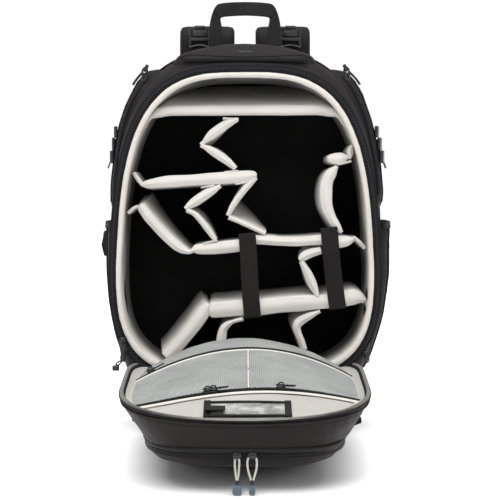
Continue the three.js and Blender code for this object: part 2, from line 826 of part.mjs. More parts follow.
// A sheet along the lid's lining. across and along run from 0 to 1.
function overLining(steps, place, clear, thickness) {
  const rings = [];
  for (let j = 0; j <= steps.along; j++) {
    const top = [];
    const under = [];
    for (let i = 0; i <= steps.across; i++) {
      const { x, station } = place(i / steps.across, j / steps.along);
      const z = lidLiningTop(x, station) + clear;
      top.push(v(x, RIM_Y - station, z + thickness));
      under.push(v(x, RIM_Y - station, z));
    }
    rings.push([...top, ...under.reverse()]);
  }
  return loft(rings);
}

function lidLiningGeometry(grow) {
  const place = (across, along) => {
    const station = mix(liningFrom, liningTo, 0.004 + 0.992 * (0.5 - Math.cos(along * Math.PI) / 2));
    return { x: (2 * across - 1) * lidLiningHalf(station), station };
  };
  return overLining({ across: 12, along: 14 }, place, -LID_LINING_WALL, LID_LINING_WALL + grow);
}

// A sheet that lies on the lining, cut back from it by the gap.
function onLining(steps, place, thickness) {
  const sheet = overLining(steps, place, -2, thickness + 2 + GAP);
  return without(solid(sheet), solid(lidLiningGeometry(GAP)));
}

// The two mesh pockets each end at a zip. A zip's stations are given at its left end, middle and right end.
const MESH_START = 20;
const MESH_MARGIN = 5;
const MESH_THICKNESS = 1.6;
const MESH_ZIP_WIDTH = 11;
const MESH_ZIPS = [
  { name: "mesh_zip_inner", left: 128, middle: 100, right: 84 },
  { name: "mesh_zip_outer", left: 362, middle: 324, right: 322 },
];
const zipStation = (zip, across) => {
  const t = 2 * across - 1;
  const line = mix(zip.left, zip.right, across);
  return line + (zip.middle - (zip.left + zip.right) / 2) * (1 - t * t);
};

function meshPocketGeometry(index) {
  const half = MESH_ZIP_WIDTH / 2;
  const place = (across, along) => {
    const start = index ? zipStation(MESH_ZIPS[index - 1], across) + half : MESH_START;
    const station = mix(start, zipStation(MESH_ZIPS[index], across) - half - GAP, along);
    return { x: (2 * across - 1) * (lidLiningHalf(station) - MESH_MARGIN), station };
  };
  return geometryOf(onLining({ across: 10, along: 4 + 4 * index }, place, MESH_THICKNESS));
}

function meshZipGeometry(index) {
  const half = MESH_ZIP_WIDTH / 2 - GAP;
  const place = (across, along) => {
    const station = zipStation(MESH_ZIPS[index], across) + half * (2 * along - 1);
    return { x: (2 * across - 1) * (lidLiningHalf(station) - MESH_MARGIN), station };
  };
  return geometryOf(onLining({ across: 10, along: 1 }, place, 2 * ZIP_TAPE_HEIGHT));
}

// A clear window in a frame of webbing, near the lid's end.
const ID_MIDDLE = 3;
const ID_HALF = 51;
const ID_START = 354;
const ID_END = 399;
const ID_BORDER = 8;

function idGeometries() {
  const place = (across, along) => ({
    x: ID_MIDDLE + (2 * across - 1) * ID_HALF,
    station: mix(ID_START, ID_END, along),
  });
  const plate = onLining({ across: 8, along: 4 }, place, MESH_THICKNESS);
  const hole = (grow) => {
    const from = { x: ID_MIDDLE - ID_HALF, y: RIM_Y - ID_END };
    const to = { x: ID_MIDDLE + ID_HALF, y: RIM_Y - ID_START };
    const border = ID_BORDER - grow;
    const shape = rounded(from.x + border, from.y + border, to.x - border, to.y - border, 3);
    return solid(planPrism(shape, 0, LID_RIM_HEIGHT + LID_BULGE));
  };
  return {
    frame: geometryOf(plate.subtract(hole(0))),
    pane: geometryOf(plate.intersect(hole(-GAP))),
  };
}

// The pocket on the lid's outer face is a tray that stands on the floor.
const FRONT_POCKET = [
  { z: 0, half: 88, from: 44, to: 240, end: 2.5 },
  { z: 3, half: 93, from: 34, to: 258, end: 2.5 },
  { z: 13, half: 103, from: 24, to: 320, end: 2.7 },
  { z: 28, half: 113, from: 18, to: 398, end: 3.1 },
  { z: LID_SPLIT_HEIGHT - GAP, half: 122, from: 14, to: 424, end: 4 },
];
const FRONT_POCKET_HINGE_POWER = 5;

function pocketRing(row, wall, lift = 0) {
  const powers = { end: row.end, hinge: FRONT_POCKET_HINGE_POWER };
  return planRing(row.half - wall, row.from + wall, row.to - wall, powers, () => row.z + lift, 0, 40);
}

function frontPocketGeometry() {
  const outside = FRONT_POCKET.map((row) => pocketRing(row, 0));
  const [base, ...walls] = FRONT_POCKET;
  const inside = [
    pocketRing(base, FRONT_POCKET_WALL, FRONT_POCKET_WALL),
    ...walls.slice(1).map((row) => pocketRing(row, FRONT_POCKET_WALL)),
  ];
  return loft([...outside, ...inside.reverse()]);
}

// The row of the front pocket at a height over its fold.
function frontPocketRow(z) {
  const [low, high] = FRONT_POCKET.slice(-2);
  const t = (z - low.z) / (high.z - low.z);
  const row = { z };
  for (const key of ["half", "from", "to", "end"]) row[key] = mix(low[key], high[key], t);
  return row;
}

const POCKET_ZIP = { low: LID_SPLIT_HEIGHT - 9, high: LID_SPLIT_HEIGHT - 2 };

function frontPocketZipGeometry() {
  const at = (z, grow) => spread(pocketRing(frontPocketRow(z), 0), grow);
  const inner = 2 * GAP;
  const outer = inner + ZIP_TAPE_HEIGHT;
  const edges = [
    at(POCKET_ZIP.low, inner),
    at(POCKET_ZIP.low, outer),
    at(POCKET_ZIP.high, outer),
    at(POCKET_ZIP.high, inner),
  ];
  return bandAlong(edges, (p) => p.y < RIM_Y - 0.72 * LID_LENGTH);
}

// Two cord loops hang from the front pocket's zip, each with a tab at its lower end.
const PULL_CORD_RADIUS = 1.3;
const PULL_TAB = { height: 13, lift: 1.5, depth: 3 };
const PULLS = [
  { side: "left", x: -9, spread: 2.2, tabWidth: 10.5 },
  { side: "right", x: 8, spread: 5, tabWidth: 7 },
];
const pullStation = frontPocketRow(POCKET_ZIP.high).to + ZIP_TAPE_HEIGHT + 2 * GAP + PULL_CORD_RADIUS;

function pullLoopGeometry(pull) {
  const low = PULL_TAB.lift + PULL_TAB.height + GAP + PULL_CORD_RADIUS;
  const high = POCKET_ZIP.high;
  const points = [];
  for (let i = 0; i < 16; i++) {
    const angle = (2 * Math.PI * i) / 16;
    const x = pull.x + pull.spread * Math.cos(angle);
    points.push(v(x, RIM_Y - pullStation, mix(low, high, (1 + Math.sin(angle)) / 2)));
  }
  const loop = new THREE.CatmullRomCurve3(points, true);
  return new THREE.TubeGeometry(loop, 20, PULL_CORD_RADIUS, 5, true);
}

function pullTabGeometry(pull) {
  const half = pull.tabWidth / 2;
  const { lift, height, depth } = PULL_TAB;
  const shape = rounded(pull.x - half, lift, pull.x + half, lift + height, 2);
  const y = RIM_Y - pullStation;
  return frontPrism(shape, y - depth / 2, y + depth / 2);
}

const SIDES = [
  { name: "left", sign: -1 },
  { name: "right", sign: 1 },
];
const STRAP_HEIGHT = 408;
const STRAP_BACK_Y = 68;
const STRAP_TUCK = { depth: 7, run: 22 };
const SIDE_WEBBING = 20;
const BUCKLE_Y = -32;
const BUCKLE_WIDTH = 28;
const BUCKLE_THICKNESS = 3.5;
const BUCKLE_HALF = 26;

// How far out a pouch's face is, at a height.
function pouchFace(side, rows, z) {
  const bulge = follow(rows.map((row) => ({ at: row.z, value: row[side.name] })), z);
  return shellSide(z) + bulge + GAP;
}

function compressionStrapGeometry(side) {
  const low = STRAP_HEIGHT - SIDE_WEBBING / 2;
  const high = STRAP_HEIGHT + SIDE_WEBBING / 2;
  const face = Math.max(pouchFace(side, UPPER_POUCH, low), pouchFace(side, UPPER_POUCH, high));
  const x = (inset) => side.sign * (face + WEBBING / 2 - inset);
  const end = BUCKLE_Y + BUCKLE_WIDTH / 2 + GAP;
  const path = [
    v(x(STRAP_TUCK.depth), STRAP_BACK_Y, STRAP_HEIGHT),
    v(x(0), STRAP_BACK_Y - STRAP_TUCK.run, STRAP_HEIGHT),
    v(x(0), end, STRAP_HEIGHT),
  ];
  return ribbon(path, v(0, 0, 1), SIDE_WEBBING, WEBBING);
}

function compressionBuckleGeometry(side) {
  const path = [-1, -1 / 3, 1 / 3, 1].map((share) => {
    const z = STRAP_HEIGHT + BUCKLE_HALF * share;
    const x = pouchFace(side, UPPER_POUCH, z) + BUCKLE_THICKNESS / 2;
    return v(side.sign * x, BUCKLE_Y, z);
  });
  return ribbon(path, v(0, 1, 0), BUCKLE_WIDTH, BUCKLE_THICKNESS);
}

// A zip pull lies on the shoulder of each upper pouch.
const SIDE_PULL = { bottom: 494, top: 511, width: 10, thickness: 4, y: -18 };

function sideZipPullGeometry(side) {
  const path = [0, 1 / 3, 2 / 3, 1].map((share) => {
    const z = mix(SIDE_PULL.bottom, SIDE_PULL.top, share);
    const x = pouchFace(side, UPPER_POUCH, z) + 2 * GAP + SIDE_PULL.thickness / 2;
    return v(side.sign * x, SIDE_PULL.y, z);
  });
  return ribbon(path, v(0, 1, 0), SIDE_PULL.width, SIDE_PULL.thickness);
}

// A triangle of webbing stands out from the left lower pouch.
const SIDE_TAB = { bottom: 250, point: 266, top: 286, edge: 2, reach: 6, front: -34, back: -12 };

function sideTabGeometry() {
  const root = Math.max(...LOWER_POUCH.map((row) => pouchFace(SIDES[0], LOWER_POUCH, row.z)));
  const shape = new THREE.Shape();
  shape.moveTo(-root, SIDE_TAB.top);
  shape.lineTo(-root - SIDE_TAB.edge, SIDE_TAB.top);
  shape.lineTo(-root - SIDE_TAB.reach, SIDE_TAB.point);
  shape.lineTo(-root - SIDE_TAB.edge, SIDE_TAB.bottom);
  shape.lineTo(-root, SIDE_TAB.bottom);
  return frontPrism(shape, SIDE_TAB.front, SIDE_TAB.back);
}

const MAIN_PULL = { x: -172, width: 10, bottom: 102, top: 130, corner: 3, thickness: 3 };

function mainZipPullGeometry() {
  const { x, width, bottom, top, corner, thickness } = MAIN_PULL;
  const shape = rounded(x - width / 2, bottom, x + width / 2, top, corner);
  const back = RIM_Y - 2 * GAP - ZIP_TAPE_HEIGHT;
  return frontPrism(shape, back - thickness, back);
}

const backpack = new THREE.Group();
backpack.name = "camera_backpack";

function add(name, geometry) {
  const mesh = new THREE.Mesh(geometry);
  mesh.name = name;
  backpack.add(mesh);
}

const shellClear = solid(loft(shellRings(1.5 * GAP)));
add("shell", shellGeometry());
add("lining", liningGeometry());
add("back_lining", backLiningGeometry());
add("rim_piping", pipingGeometry());
add("body_zip", bodyZipGeometry());
add("top_hood", geometryOf(hoodBody(0).subtract(shellClear)));
add("handle", handleGeometry());
for (const side of SIDES) {
  add(`shoulder_strap_${side.name}`, shoulderStrapGeometry(side.sign));
  add(`load_lifter_${side.name}`, loadLifterGeometry(side.sign));
  add(`ladder_buckle_${side.name}`, ladderBuckleGeometry(side.sign));
  add(`back_pad_${side.name}`, backPadGeometry(side.sign));
  add(`upper_pouch_${side.name}`, pouch(side, UPPER_POUCH, false, shellClear));
  add(`lower_pouch_${side.name}`, pouch(side, LOWER_POUCH, true, shellClear));
  add(`compression_strap_${side.name}`, compressionStrapGeometry(side));
  add(`compression_buckle_${side.name}`, compressionBuckleGeometry(side));
  add(`side_zip_pull_${side.name}`, sideZipPullGeometry(side));
}
add("side_tab", sideTabGeometry());
add("main_zip_pull", mainZipPullGeometry());
for (const [name, geometry] of dividerGeometries()) add(name, geometry);
for (const row of ELASTICS) add(row.name, elasticGeometry(row));
add("hinge_panel", hingeGeometry());
add("lid_shell", lidShellGeometry());
add("lid_zip", lidZipGeometry());
add("lid_lining", lidLiningGeometry(0));
add("mesh_pocket_inner", meshPocketGeometry(0));
add("mesh_pocket_outer", meshPocketGeometry(1));
MESH_ZIPS.forEach((zip, index) => add(zip.name, meshZipGeometry(index)));
const id = idGeometries();
add("id_window_frame", id.frame);
add("id_window", id.pane);
add("front_pocket", frontPocketGeometry());
add("front_pocket_zip", frontPocketZipGeometry());
for (const pull of PULLS) {
  add(`front_pull_loop_${pull.side}`, pullLoopGeometry(pull));
  add(`front_pull_tab_${pull.side}`, pullTabGeometry(pull));
}

export default backpack;
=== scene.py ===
import math

import bmesh
import bpy
import numpy as np
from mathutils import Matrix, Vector, kdtree
from mathutils.bvhtree import BVHTree


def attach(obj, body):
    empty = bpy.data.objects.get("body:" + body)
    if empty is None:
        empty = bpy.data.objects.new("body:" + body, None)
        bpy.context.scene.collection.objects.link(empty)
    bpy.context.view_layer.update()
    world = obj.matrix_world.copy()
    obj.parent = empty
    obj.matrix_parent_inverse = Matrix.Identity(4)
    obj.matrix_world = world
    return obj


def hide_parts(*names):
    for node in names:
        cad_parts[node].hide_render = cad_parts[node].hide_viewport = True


# A camera backpack, open, with its lid folded down in front. Shapes are written in millimetres in the
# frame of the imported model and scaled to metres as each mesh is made. Left and right are a front view's.
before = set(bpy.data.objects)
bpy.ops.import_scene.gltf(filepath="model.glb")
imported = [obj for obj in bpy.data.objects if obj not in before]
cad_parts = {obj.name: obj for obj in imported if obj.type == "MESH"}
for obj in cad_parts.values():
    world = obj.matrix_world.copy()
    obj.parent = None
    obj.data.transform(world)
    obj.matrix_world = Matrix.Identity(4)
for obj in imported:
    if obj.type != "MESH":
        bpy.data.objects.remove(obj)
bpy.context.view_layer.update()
scene = bpy.context.scene
MM = 0.001

# The camera's lens is in millimetres, its place in metres, and its turns are in degrees.
CAMERA_LENS, CAMERA_CLIP = 109.65, 20
CAMERA_PLACE = (0.0002, -2.2166, 0.3473)
CAMERA_DIP, CAMERA_YAW = 2.327, -0.181
SKY_SPAN = {"From Min": 0.2, "From Max": 0.6, "To Min": 1.03, "To Max": 0.22}
SUN_POWER, SUN_WIDTH, SUN_AIM = 5.2, 64, (0.0, 0.25, -1)
FLOOR_REACH = 9
FLOOR_LOOK = {"Base Color": (0.93, 0.93, 0.93, 1), "Roughness": 0.9, "Specular IOR Level": 0.1}
# Area lights as name, place, target, size and power.
LIGHTS = [
    ("key", (-0.7, -2.4, 1.9), (0, 0, 0.3), (1.4, 1.0), 22),
    ("fill", (1.4, -2.3, 1.3), (0, 0, 0.3), (0.8, 1.4), 8),
]


# Camera, lights and floor.
def make_camera():
    data = bpy.data.cameras.new("camera")
    data.lens = CAMERA_LENS
    data.clip_end = CAMERA_CLIP
    camera = bpy.data.objects.new("camera", data)
    camera.location = CAMERA_PLACE
    camera.rotation_euler = (math.radians(90 - CAMERA_DIP), 0, math.radians(CAMERA_YAW))
    scene.collection.objects.link(camera)
    scene.camera = camera


def make_light(name, place, target, size, power):
    data = bpy.data.lights.new(name, "AREA")
    data.shape = "RECTANGLE"
    data.size, data.size_y = size
    data.energy = power
    light = bpy.data.objects.new(name, data)
    light.location = place
    light.rotation_euler = (Vector(target) - Vector(place)).to_track_quat("-Z", "Y").to_euler()
    scene.collection.objects.link(light)


def make_sky():
    """White round the horizon and dimmer overhead, with one broad soft sun."""
    world = bpy.data.worlds.new("studio")
    world.use_nodes = True
    tree = world.node_tree
    back = tree.nodes["Background"]
    back.inputs["Color"].default_value = (1, 1, 1, 1)
    split = tree.nodes.new("ShaderNodeSeparateXYZ")
    span = tree.nodes.new("ShaderNodeMapRange")
    for key, value in SKY_SPAN.items():
        span.inputs[key].default_value = value
    tree.links.new(tree.nodes.new("ShaderNodeTexCoord").outputs["Generated"], split.inputs[0])
    tree.links.new(split.outputs["Z"], span.inputs["Value"])
    tree.links.new(span.outputs[0], back.inputs["Strength"])
    scene.world = world
    data = bpy.data.lights.new("sun", "SUN")
    data.energy = SUN_POWER
    data.angle = math.radians(SUN_WIDTH)
    sun = bpy.data.objects.new("sun", data)
    sun.rotation_euler = Vector(SUN_AIM).to_track_quat("-Z", "Y").to_euler()
    scene.collection.objects.link(sun)


def make_studio():
    for row in LIGHTS:
        make_light(*row)
    make_sky()
    scene.view_settings.view_transform = "Standard"
    mesh = bpy.data.meshes.new("floor")
    corners = [(FLOOR_REACH * a, FLOOR_REACH * b, 0) for a, b in ((-1, -1), (1, -1), (1, 1), (-1, 1))]
    mesh.from_pydata(corners, [], [(0, 1, 2, 3)])
    floor = bpy.data.objects.new("floor", mesh)
    paper = bpy.data.materials.new("floor_paper")
    paper.use_nodes = True
    shader = paper.node_tree.nodes["Principled BSDF"]
    for key, value in FLOOR_LOOK.items():
        shader.inputs[key].default_value = value
    mesh.materials.append(paper)
    scene.collection.objects.link(floor)


make_camera()
make_studio()


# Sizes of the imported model, in millimetres, as in the part's source.
GAP = 0.4
OPENING = {"half": 181, "top": 509, "bottom": 78, "taper": 0.0755, "power": 3.2}
SHELL = {"half": 193, "top": 546, "sink": 16, "power_up": 2.9, "power_down": 5, "taper_down": 0.34}
WAIST = 239
RIM_Y, BACK_Y = -85, 85
DEPTH = BACK_Y - RIM_Y
SHELL_WALL, RIM_WIDTH, LINING_WALL, PIPING, ZIP_WIDTH, ZIP_HEIGHT = 6, 6, 6, 4, 9, 1.6
HINGE_HALF, HINGE_DEPTH = 105, 5
LINING_FRONT = RIM_Y + PIPING + GAP
BACK_LINING = (BACK_Y - SHELL_WALL - GAP - 3, BACK_Y - SHELL_WALL - GAP)
LINING_BACK = BACK_LINING[0] - GAP
SHELL_SHARES = [0, 0.05, 0.13, 0.24, 0.38, 0.8, 0.92, 0.975, 1]
SHELL_FRONT = [1, 0.7, 0.36, 0.11, 0, 0, 0, 0, 0]
SHELL_ROUND = [0, 0, 0, 0, 0, 1, 4, 8, 14]
SHELL_LIFT = [0, 0, 0, 0, 0, 0, 8, 20, 30]
LID = {"length": 440, "half": 162, "taper": 0.1, "wall": 4, "rim": 102, "drop": 16, "dip": 8}
LID_SPLIT, LID_RISE, LID_INSET, LID_BULGE, LID_LINING_DROP = 51, 36, 18, 50, 12
LID_START = HINGE_DEPTH + 2 * GAP
LID_POWERS = (4.5, 7)
LID_END_LEAN = 0.42
LEAN_AT, LEAN = [0, 0.1, 0.5, 0.88, 1], [36, 29, 15, 2, 0]
LINING_FROM = LID_START + LID["wall"] + 3 * GAP
LINING_TO = LID["length"] - LID_INSET * LID_END_LEAN - LID["wall"] - GAP
MESH_ZIPS = [(128, 100, 84), (362, 324, 322)]
MESH_START, MESH_ZIP_WIDTH = 20, 11
MESH_ZIP_UP = (0, -0.05, 1)
ID_MIDDLE, ID_HALF, ID_START, ID_END, ID_BORDER = 3, 51, 354, 399, 8
POCKET = {
    "z": [0, 3, 13, 28, 50.6],
    "half": [88, 93, 103, 113, 122],
    "from": [44, 34, 24, 18, 14],
    "to": [240, 258, 320, 398, 424],
    "end": [2.5, 2.5, 2.7, 3.1, 4],
}
POCKET_ZIP = (42, 49)
POCKET_START_POWER = 5
SHELL_MIDDLE = 270.0
FORWARD, BACKWARD = (0, -1.0, 0), (0, 1.0, 0)

# Spacing between lines whose runs are joined, the step along a seam, and the numbers of the noise's hash.
LINE_SPACING, SEAM_STEP = 50, 3
HASH, HASH_SEED, WORD = (374761393, 668265263, 1274126177), 974634777, 0xFFFFFFFF


# Numbers and lines.
def mix(a, b, t):
    return a + (b - a) * t


def smooth(t):
    c = np.clip(t, 0, 1)
    return c * c * (3 - 2 * c)


def signed_power(value, power):
    return np.sign(value) * np.abs(value) ** power


def facing(points, direction):
    """One direction, once for each point."""
    return np.tile(direction, (len(points), 1))


def unit(vectors):
    return vectors / np.maximum(np.linalg.norm(vectors, axis=-1, keepdims=True), 1e-9)


def run_along(line):
    """How far along a line each of its points lies."""
    return np.concatenate([[0], np.cumsum(np.linalg.norm(np.diff(line, axis=0), axis=1))])


def evenly(points, count):
    """count points spread evenly along an open line."""
    points = np.asarray(points, float)
    run = run_along(points)
    at = np.linspace(0, run[-1], count)
    return np.stack([np.interp(at, run, points[:, k]) for k in range(points.shape[1])], axis=1)


def curve(points, count):
    """A smooth line through some points, as count even points."""
    p = np.asarray(points, float)
    p = np.vstack([2 * p[0] - p[1], p, 2 * p[-1] - p[-2]])
    line = []
    for a, b, c, d in zip(p, p[1:], p[2:], p[3:]):
        t = np.linspace(0, 1, 24, endpoint=False)[:, None]
        line.append(0.5 * (2 * b + (c - a) * t + (2 * a - 5 * b + 4 * c - d) * t**2
                           + (3 * b - a - 3 * c + d) * t**3))
    return evenly(np.vstack([*line, p[-2:-1]]), count)


def lattice(i, seed):
    h = (np.sum(i * HASH, axis=-1) + seed * HASH_SEED) & WORD
    h = ((h ^ (h >> 13)) * HASH[2]) & WORD
    return ((h ^ (h >> 16)) & 0xFFFF) / 32767.5 - 1


def noise(points, size, seed=0):
    """Smooth noise from -1 to 1 at points; size is that of its bumps, as a number or one for each axis."""
    q = np.asarray(points, float) / np.asarray(size, float)
    i = np.floor(q).astype(np.int64)
    f = smooth(q - i)
    total = 0
    for corner in range(8):
        step = np.array([corner & 1, corner >> 1 & 1, corner >> 2 & 1])
        weight = np.prod(np.where(step, f, 1 - f), axis=-1)
        total = total + weight * lattice(i + step, seed)
    return total


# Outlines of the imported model.
def even_ring(place, count):
    halves = []
    for start in (0, math.pi):
        halves.append(evenly(place(np.linspace(start, start + math.pi, 721)), count // 2 + 1)[:-1])
    return np.vstack(halves)


def front_ring(y, o, count=320):
    def place(angle):
        upper = np.sin(angle) >= 0
        power = np.where(upper, 2 / o["power_up"], 2 / o["power_down"])
        rise = np.abs(np.sin(angle)) ** power
        run = signed_power(np.cos(angle), power)
        draw = np.where(upper, 1 - o["taper_up"] * rise, 1 - o["taper_down"] * rise**2)
        z = WAIST + rise * (np.where(upper, o["top"], o["bottom"]) - WAIST)
        return np.stack([o["half"] * run * draw, np.full_like(z, y), z], axis=1)

    ring = even_ring(place, count)
    ring[:, 2] = np.maximum(o.get("floor", 0), ring[:, 2])
    return ring


def opening(grow):
    return {
        "half": OPENING["half"] + grow,
        "top": OPENING["top"] + grow,
        "bottom": OPENING["bottom"] - grow,
        "power_up": OPENING["power"],
        "power_down": OPENING["power"],
        "taper_up": OPENING["taper"],
        "taper_down": 0,
    }


def shell_ring(share, grow=0, count=320):
    front = np.interp(share, SHELL_SHARES, SHELL_FRONT)
    rounding = np.interp(share, SHELL_SHARES, SHELL_ROUND)
    rim = opening(RIM_WIDTH + grow)
    full = {
        "half": SHELL["half"] - rounding + grow,
        "top": SHELL["top"] - rounding + grow,
        "bottom": np.interp(share, SHELL_SHARES, SHELL_LIFT) - SHELL["sink"] - grow,
        "power_up": SHELL["power_up"],
        "power_down": SHELL["power_down"],
        "taper_up": 0,
        "taper_down": SHELL["taper_down"],
    }
    o = {key: mix(full[key], rim[key], front) for key in full}
    return front_ring(RIM_Y + share * DEPTH, o, count)


def trimmed(points):
    """Draws the left wall in between the two side pouches."""
    z = points[..., 2]
    pull = np.interp(z, [236, 262, 290, 350, 372, 392], [0, 3, 8, 8, 4, 0])
    share = smooth((-points[..., 0] - 150) / 40)
    out = points.copy()
    out[..., 0] += pull * share
    return out


def shell_side(z):
    z = np.asarray(z, float)
    up = z >= WAIST
    reach = np.where(up, SHELL["top"] - WAIST, WAIST + SHELL["sink"])
    rise = np.minimum(1, np.abs(z - WAIST) / reach)
    power = np.where(up, SHELL["power_up"], SHELL["power_down"])
    draw = np.where(up, 1, 1 - SHELL["taper_down"] * rise**2)
    return SHELL["half"] * (1 - rise**power) ** (1 / power) * draw


def plan_ring(half, start, end, powers, height, taper=0.0, count=280):
    def place(angle):
        power = np.where(np.sin(angle) >= 0, 2 / powers[0], 2 / powers[1])
        station = mix(start, end, (1 + signed_power(np.sin(angle), power)) / 2)
        draw = 1 - taper * station / LID["length"]
        x = half * signed_power(np.cos(angle), power) * draw
        return np.stack([x, RIM_Y - station, np.zeros_like(x)], axis=1)

    ring = even_ring(place, count)
    ring[:, 2] = height(RIM_Y - ring[:, 1], ring[:, 0])
    return ring


def lid_rim(station, x):
    sag = smooth((station - 0.66 * LID["length"]) / (0.34 * LID["length"])) * (1 - (x / LID["half"]) ** 2)
    dip = 1 - smooth(station / LID_RISE)
    return LID["rim"] - LID["drop"] * sag - LID["dip"] * dip


def lid_ring(share, wall=0.0, floor=0.0, count=280):
    lean = np.interp(share, LEAN_AT, LEAN) + wall
    far = LID["length"] - (lean - wall) * LID_END_LEAN - wall

    def height(station, x):
        return mix(LID_SPLIT + floor, lid_rim(station, x), share)

    return plan_ring(LID["half"] - lean, LID_START + wall, far, LID_POWERS, height, LID["taper"], count)


def spread(ring, distance, rise=0.0):
    """A ring in the plan, moved out from its middle and up."""
    along = np.roll(ring, -1, axis=0) - np.roll(ring, 1, axis=0)
    along[:, 2] = 0
    along = unit(along)
    out = np.stack([-along[:, 1], along[:, 0], np.zeros(len(ring))], axis=1)
    moved = ring + out * distance
    moved[:, 2] += rise
    return moved


def lining_half(station):
    along = 2 * (station - LINING_FROM) / (LINING_TO - LINING_FROM) - 1
    power = np.where(along > 0, LID_POWERS[0], LID_POWERS[1])
    rounding = np.maximum(0, 1 - np.abs(along) ** power) ** (1 / power)
    return (LID["half"] - LID_INSET) * rounding * (1 - LID["taper"] * station / LID["length"])


def lining_wide(station):
    """Half of the width of the lid's lining as it is seen, drawn out to the walls near the hinge."""
    ends = smooth((station - LINING_FROM) / 12) * (1 - smooth((station - 365) / 40))
    return lining_half(station) + mix(9, 6, smooth((station - 250) / 130)) * ends


def lining_top(x, station):
    arch = smooth((station - LINING_FROM) / 22) * np.maximum(0, 1 - station / LID["length"]) ** 0.8
    across = np.maximum(0, 1 - (x / (LID["half"] - LID_INSET)) ** 2)
    return lid_rim(station, x) - LID_LINING_DROP + LID_BULGE * arch * across


def on_lining(x, station, clear=0.0):
    return np.stack([x, RIM_Y - station, lining_top(x, station) + clear], axis=-1)


def zip_station(zip_row, across):
    left, middle, right = zip_row
    t = 2 * across - 1
    return mix(left, right, across) + (middle - (left + right) / 2) * (1 - t * t)


def pocket_ring(z, wall=0.0, count=240):
    half, start, end, power = (np.interp(z, POCKET["z"], POCKET[k]) for k in ("half", "from", "to", "end"))
    powers = (power, POCKET_START_POWER)
    return plan_ring(half - wall, start + wall, end - wall, powers, lambda s, x: np.full_like(x, z), 0, count)


# Mesh making.
def grid_faces(rows, cols, loop_rows=False, loop_cols=False):
    r = np.arange(rows if loop_rows else rows - 1)
    c = np.arange(cols if loop_cols else cols - 1)
    a, b = np.meshgrid(r, c, indexing="ij")
    a, b = a.ravel(), b.ravel()
    an, bn = (a + 1) % rows, (b + 1) % cols
    return np.stack([a * cols + b, a * cols + bn, an * cols + bn, an * cols + b], axis=1)


def normals_of(points, faces):
    p = points[faces]
    face = np.cross(p[:, 2] - p[:, 0], p[:, 3] - p[:, 1])
    total = np.zeros_like(points)
    for k in range(4):
        np.add.at(total, faces[:, k], face)
    return unit(total)


def skin(grid):
    """Points, faces and outward normals of a grid whose columns run round, and each point's row."""
    rows, cols = grid.shape[:2]
    points = grid.reshape(-1, 3)
    faces = grid_faces(rows, cols, False, True)
    normals = normals_of(points, faces)
    out = points - np.repeat(grid.mean(axis=1), cols, axis=0)
    if np.sum(normals * out) < 0:
        normals = -normals
    return points, faces, normals, np.repeat(np.arange(rows), cols)


def caps(rows, cols):
    """The two faces that close the ends of a grid whose columns run round."""
    return [list(range(cols)), list(range((rows - 1) * cols, rows * cols))]


def even_rows(grid, first, last, times, share=0.5):
    """Evens out some rows of a grid towards the rows beside them."""
    inner = grid[first:last]
    for _ in range(times):
        inner += share * (0.5 * (grid[first - 1:last - 1] + grid[first + 1:last + 1]) - inner)


def open_part(ring, free):
    """The free points of a closed ring, in order from the first one after a gap."""
    start = np.nonzero(free & ~np.roll(free, 1))[0][0]
    return np.roll(ring, -start, axis=0)[np.roll(free, -start)]


def closed_line(ring):
    return np.vstack([ring, ring[:1]])


def near(points, lines):
    """The distance from each point to some lines, and how far along them that is."""
    steps = np.vstack(lines)
    runs = []
    start = 0
    for line in lines:
        run = run_along(line)
        runs.append(run + start)
        start += run[-1] + LINE_SPACING
    runs = np.concatenate(runs)
    tree = kdtree.KDTree(len(steps))
    for i, p in enumerate(steps):
        tree.insert(p, i)
    tree.balance()
    found = [tree.find(p) for p in points]
    return np.array([f[2] for f in found]), runs[[f[1] for f in found]]


def stitch_in(points, normals, lines, depth=1.2, width=2.5, pucker=0.5, reach=14.0, pitch=11.0, seed=1):
    """Presses seams into a surface and gathers the cloth beside them."""
    even = []
    for line in lines:
        length = np.linalg.norm(np.diff(line, axis=0), axis=1).sum()
        even.append(evenly(line, max(8, int(length / SEAM_STEP))))
    distance, run = near(points, even)
    groove = -depth * np.exp(-((distance / width) ** 2))
    wave = np.sin(2 * math.pi * run / pitch + 2.5 * noise(points, 40, seed))
    fade = np.exp(-distance / reach) * (1 - np.exp(-((distance / width) ** 2)))
    strength = 0.5 + 0.5 * noise(points, 60, seed + 3)
    return points + normals * (groove + pucker * wave * fade * strength)[:, None]


def crumple(points, normals, rows, mask=1.0):
    """Moves a surface along its normals by noise; rows are (bump size, height, seed)."""
    shift = np.zeros(len(points))
    for size, height, seed in rows:
        shift += height * noise(points, size, seed)
    return points + normals * (shift * mask)[:, None]


def make(name, points, faces, material, slot, replaces=(), extra=()):
    """A piece of the object from points in millimetres, riding on the model's one body."""
    mesh = bpy.data.meshes.new(name)
    faces = [tuple(int(i) for i in f) for f in faces] + [tuple(int(i) for i in f) for f in extra]
    mesh.from_pydata((np.asarray(points, float).reshape(-1, 3) * MM).tolist(), [], faces)
    mesh.materials.append(material)
    turn = bmesh.new()
    turn.from_mesh(mesh)
    bmesh.ops.recalc_face_normals(turn, faces=turn.faces)
    turn.to_mesh(mesh)
    turn.free()
    mesh.shade_smooth()
    obj = bpy.data.objects.new(name, mesh)
    scene.collection.objects.link(obj)
    return dress(obj, slot, replaces)


def dress(obj, slot, replaces=()):
    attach(obj, "root")
    if replaces:
        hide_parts(*replaces)
    return obj


def join_parts(parts):
    """One set of points and faces from several (points, faces)."""
    points, faces, start = [], [], 0
    for part_points, part_faces in parts:
        part_points = np.asarray(part_points, float).reshape(-1, 3)
        points.append(part_points)
        faces.extend([[int(i) + start for i in f] for f in part_faces])
        start += len(part_points)
    return np.vstack(points), faces


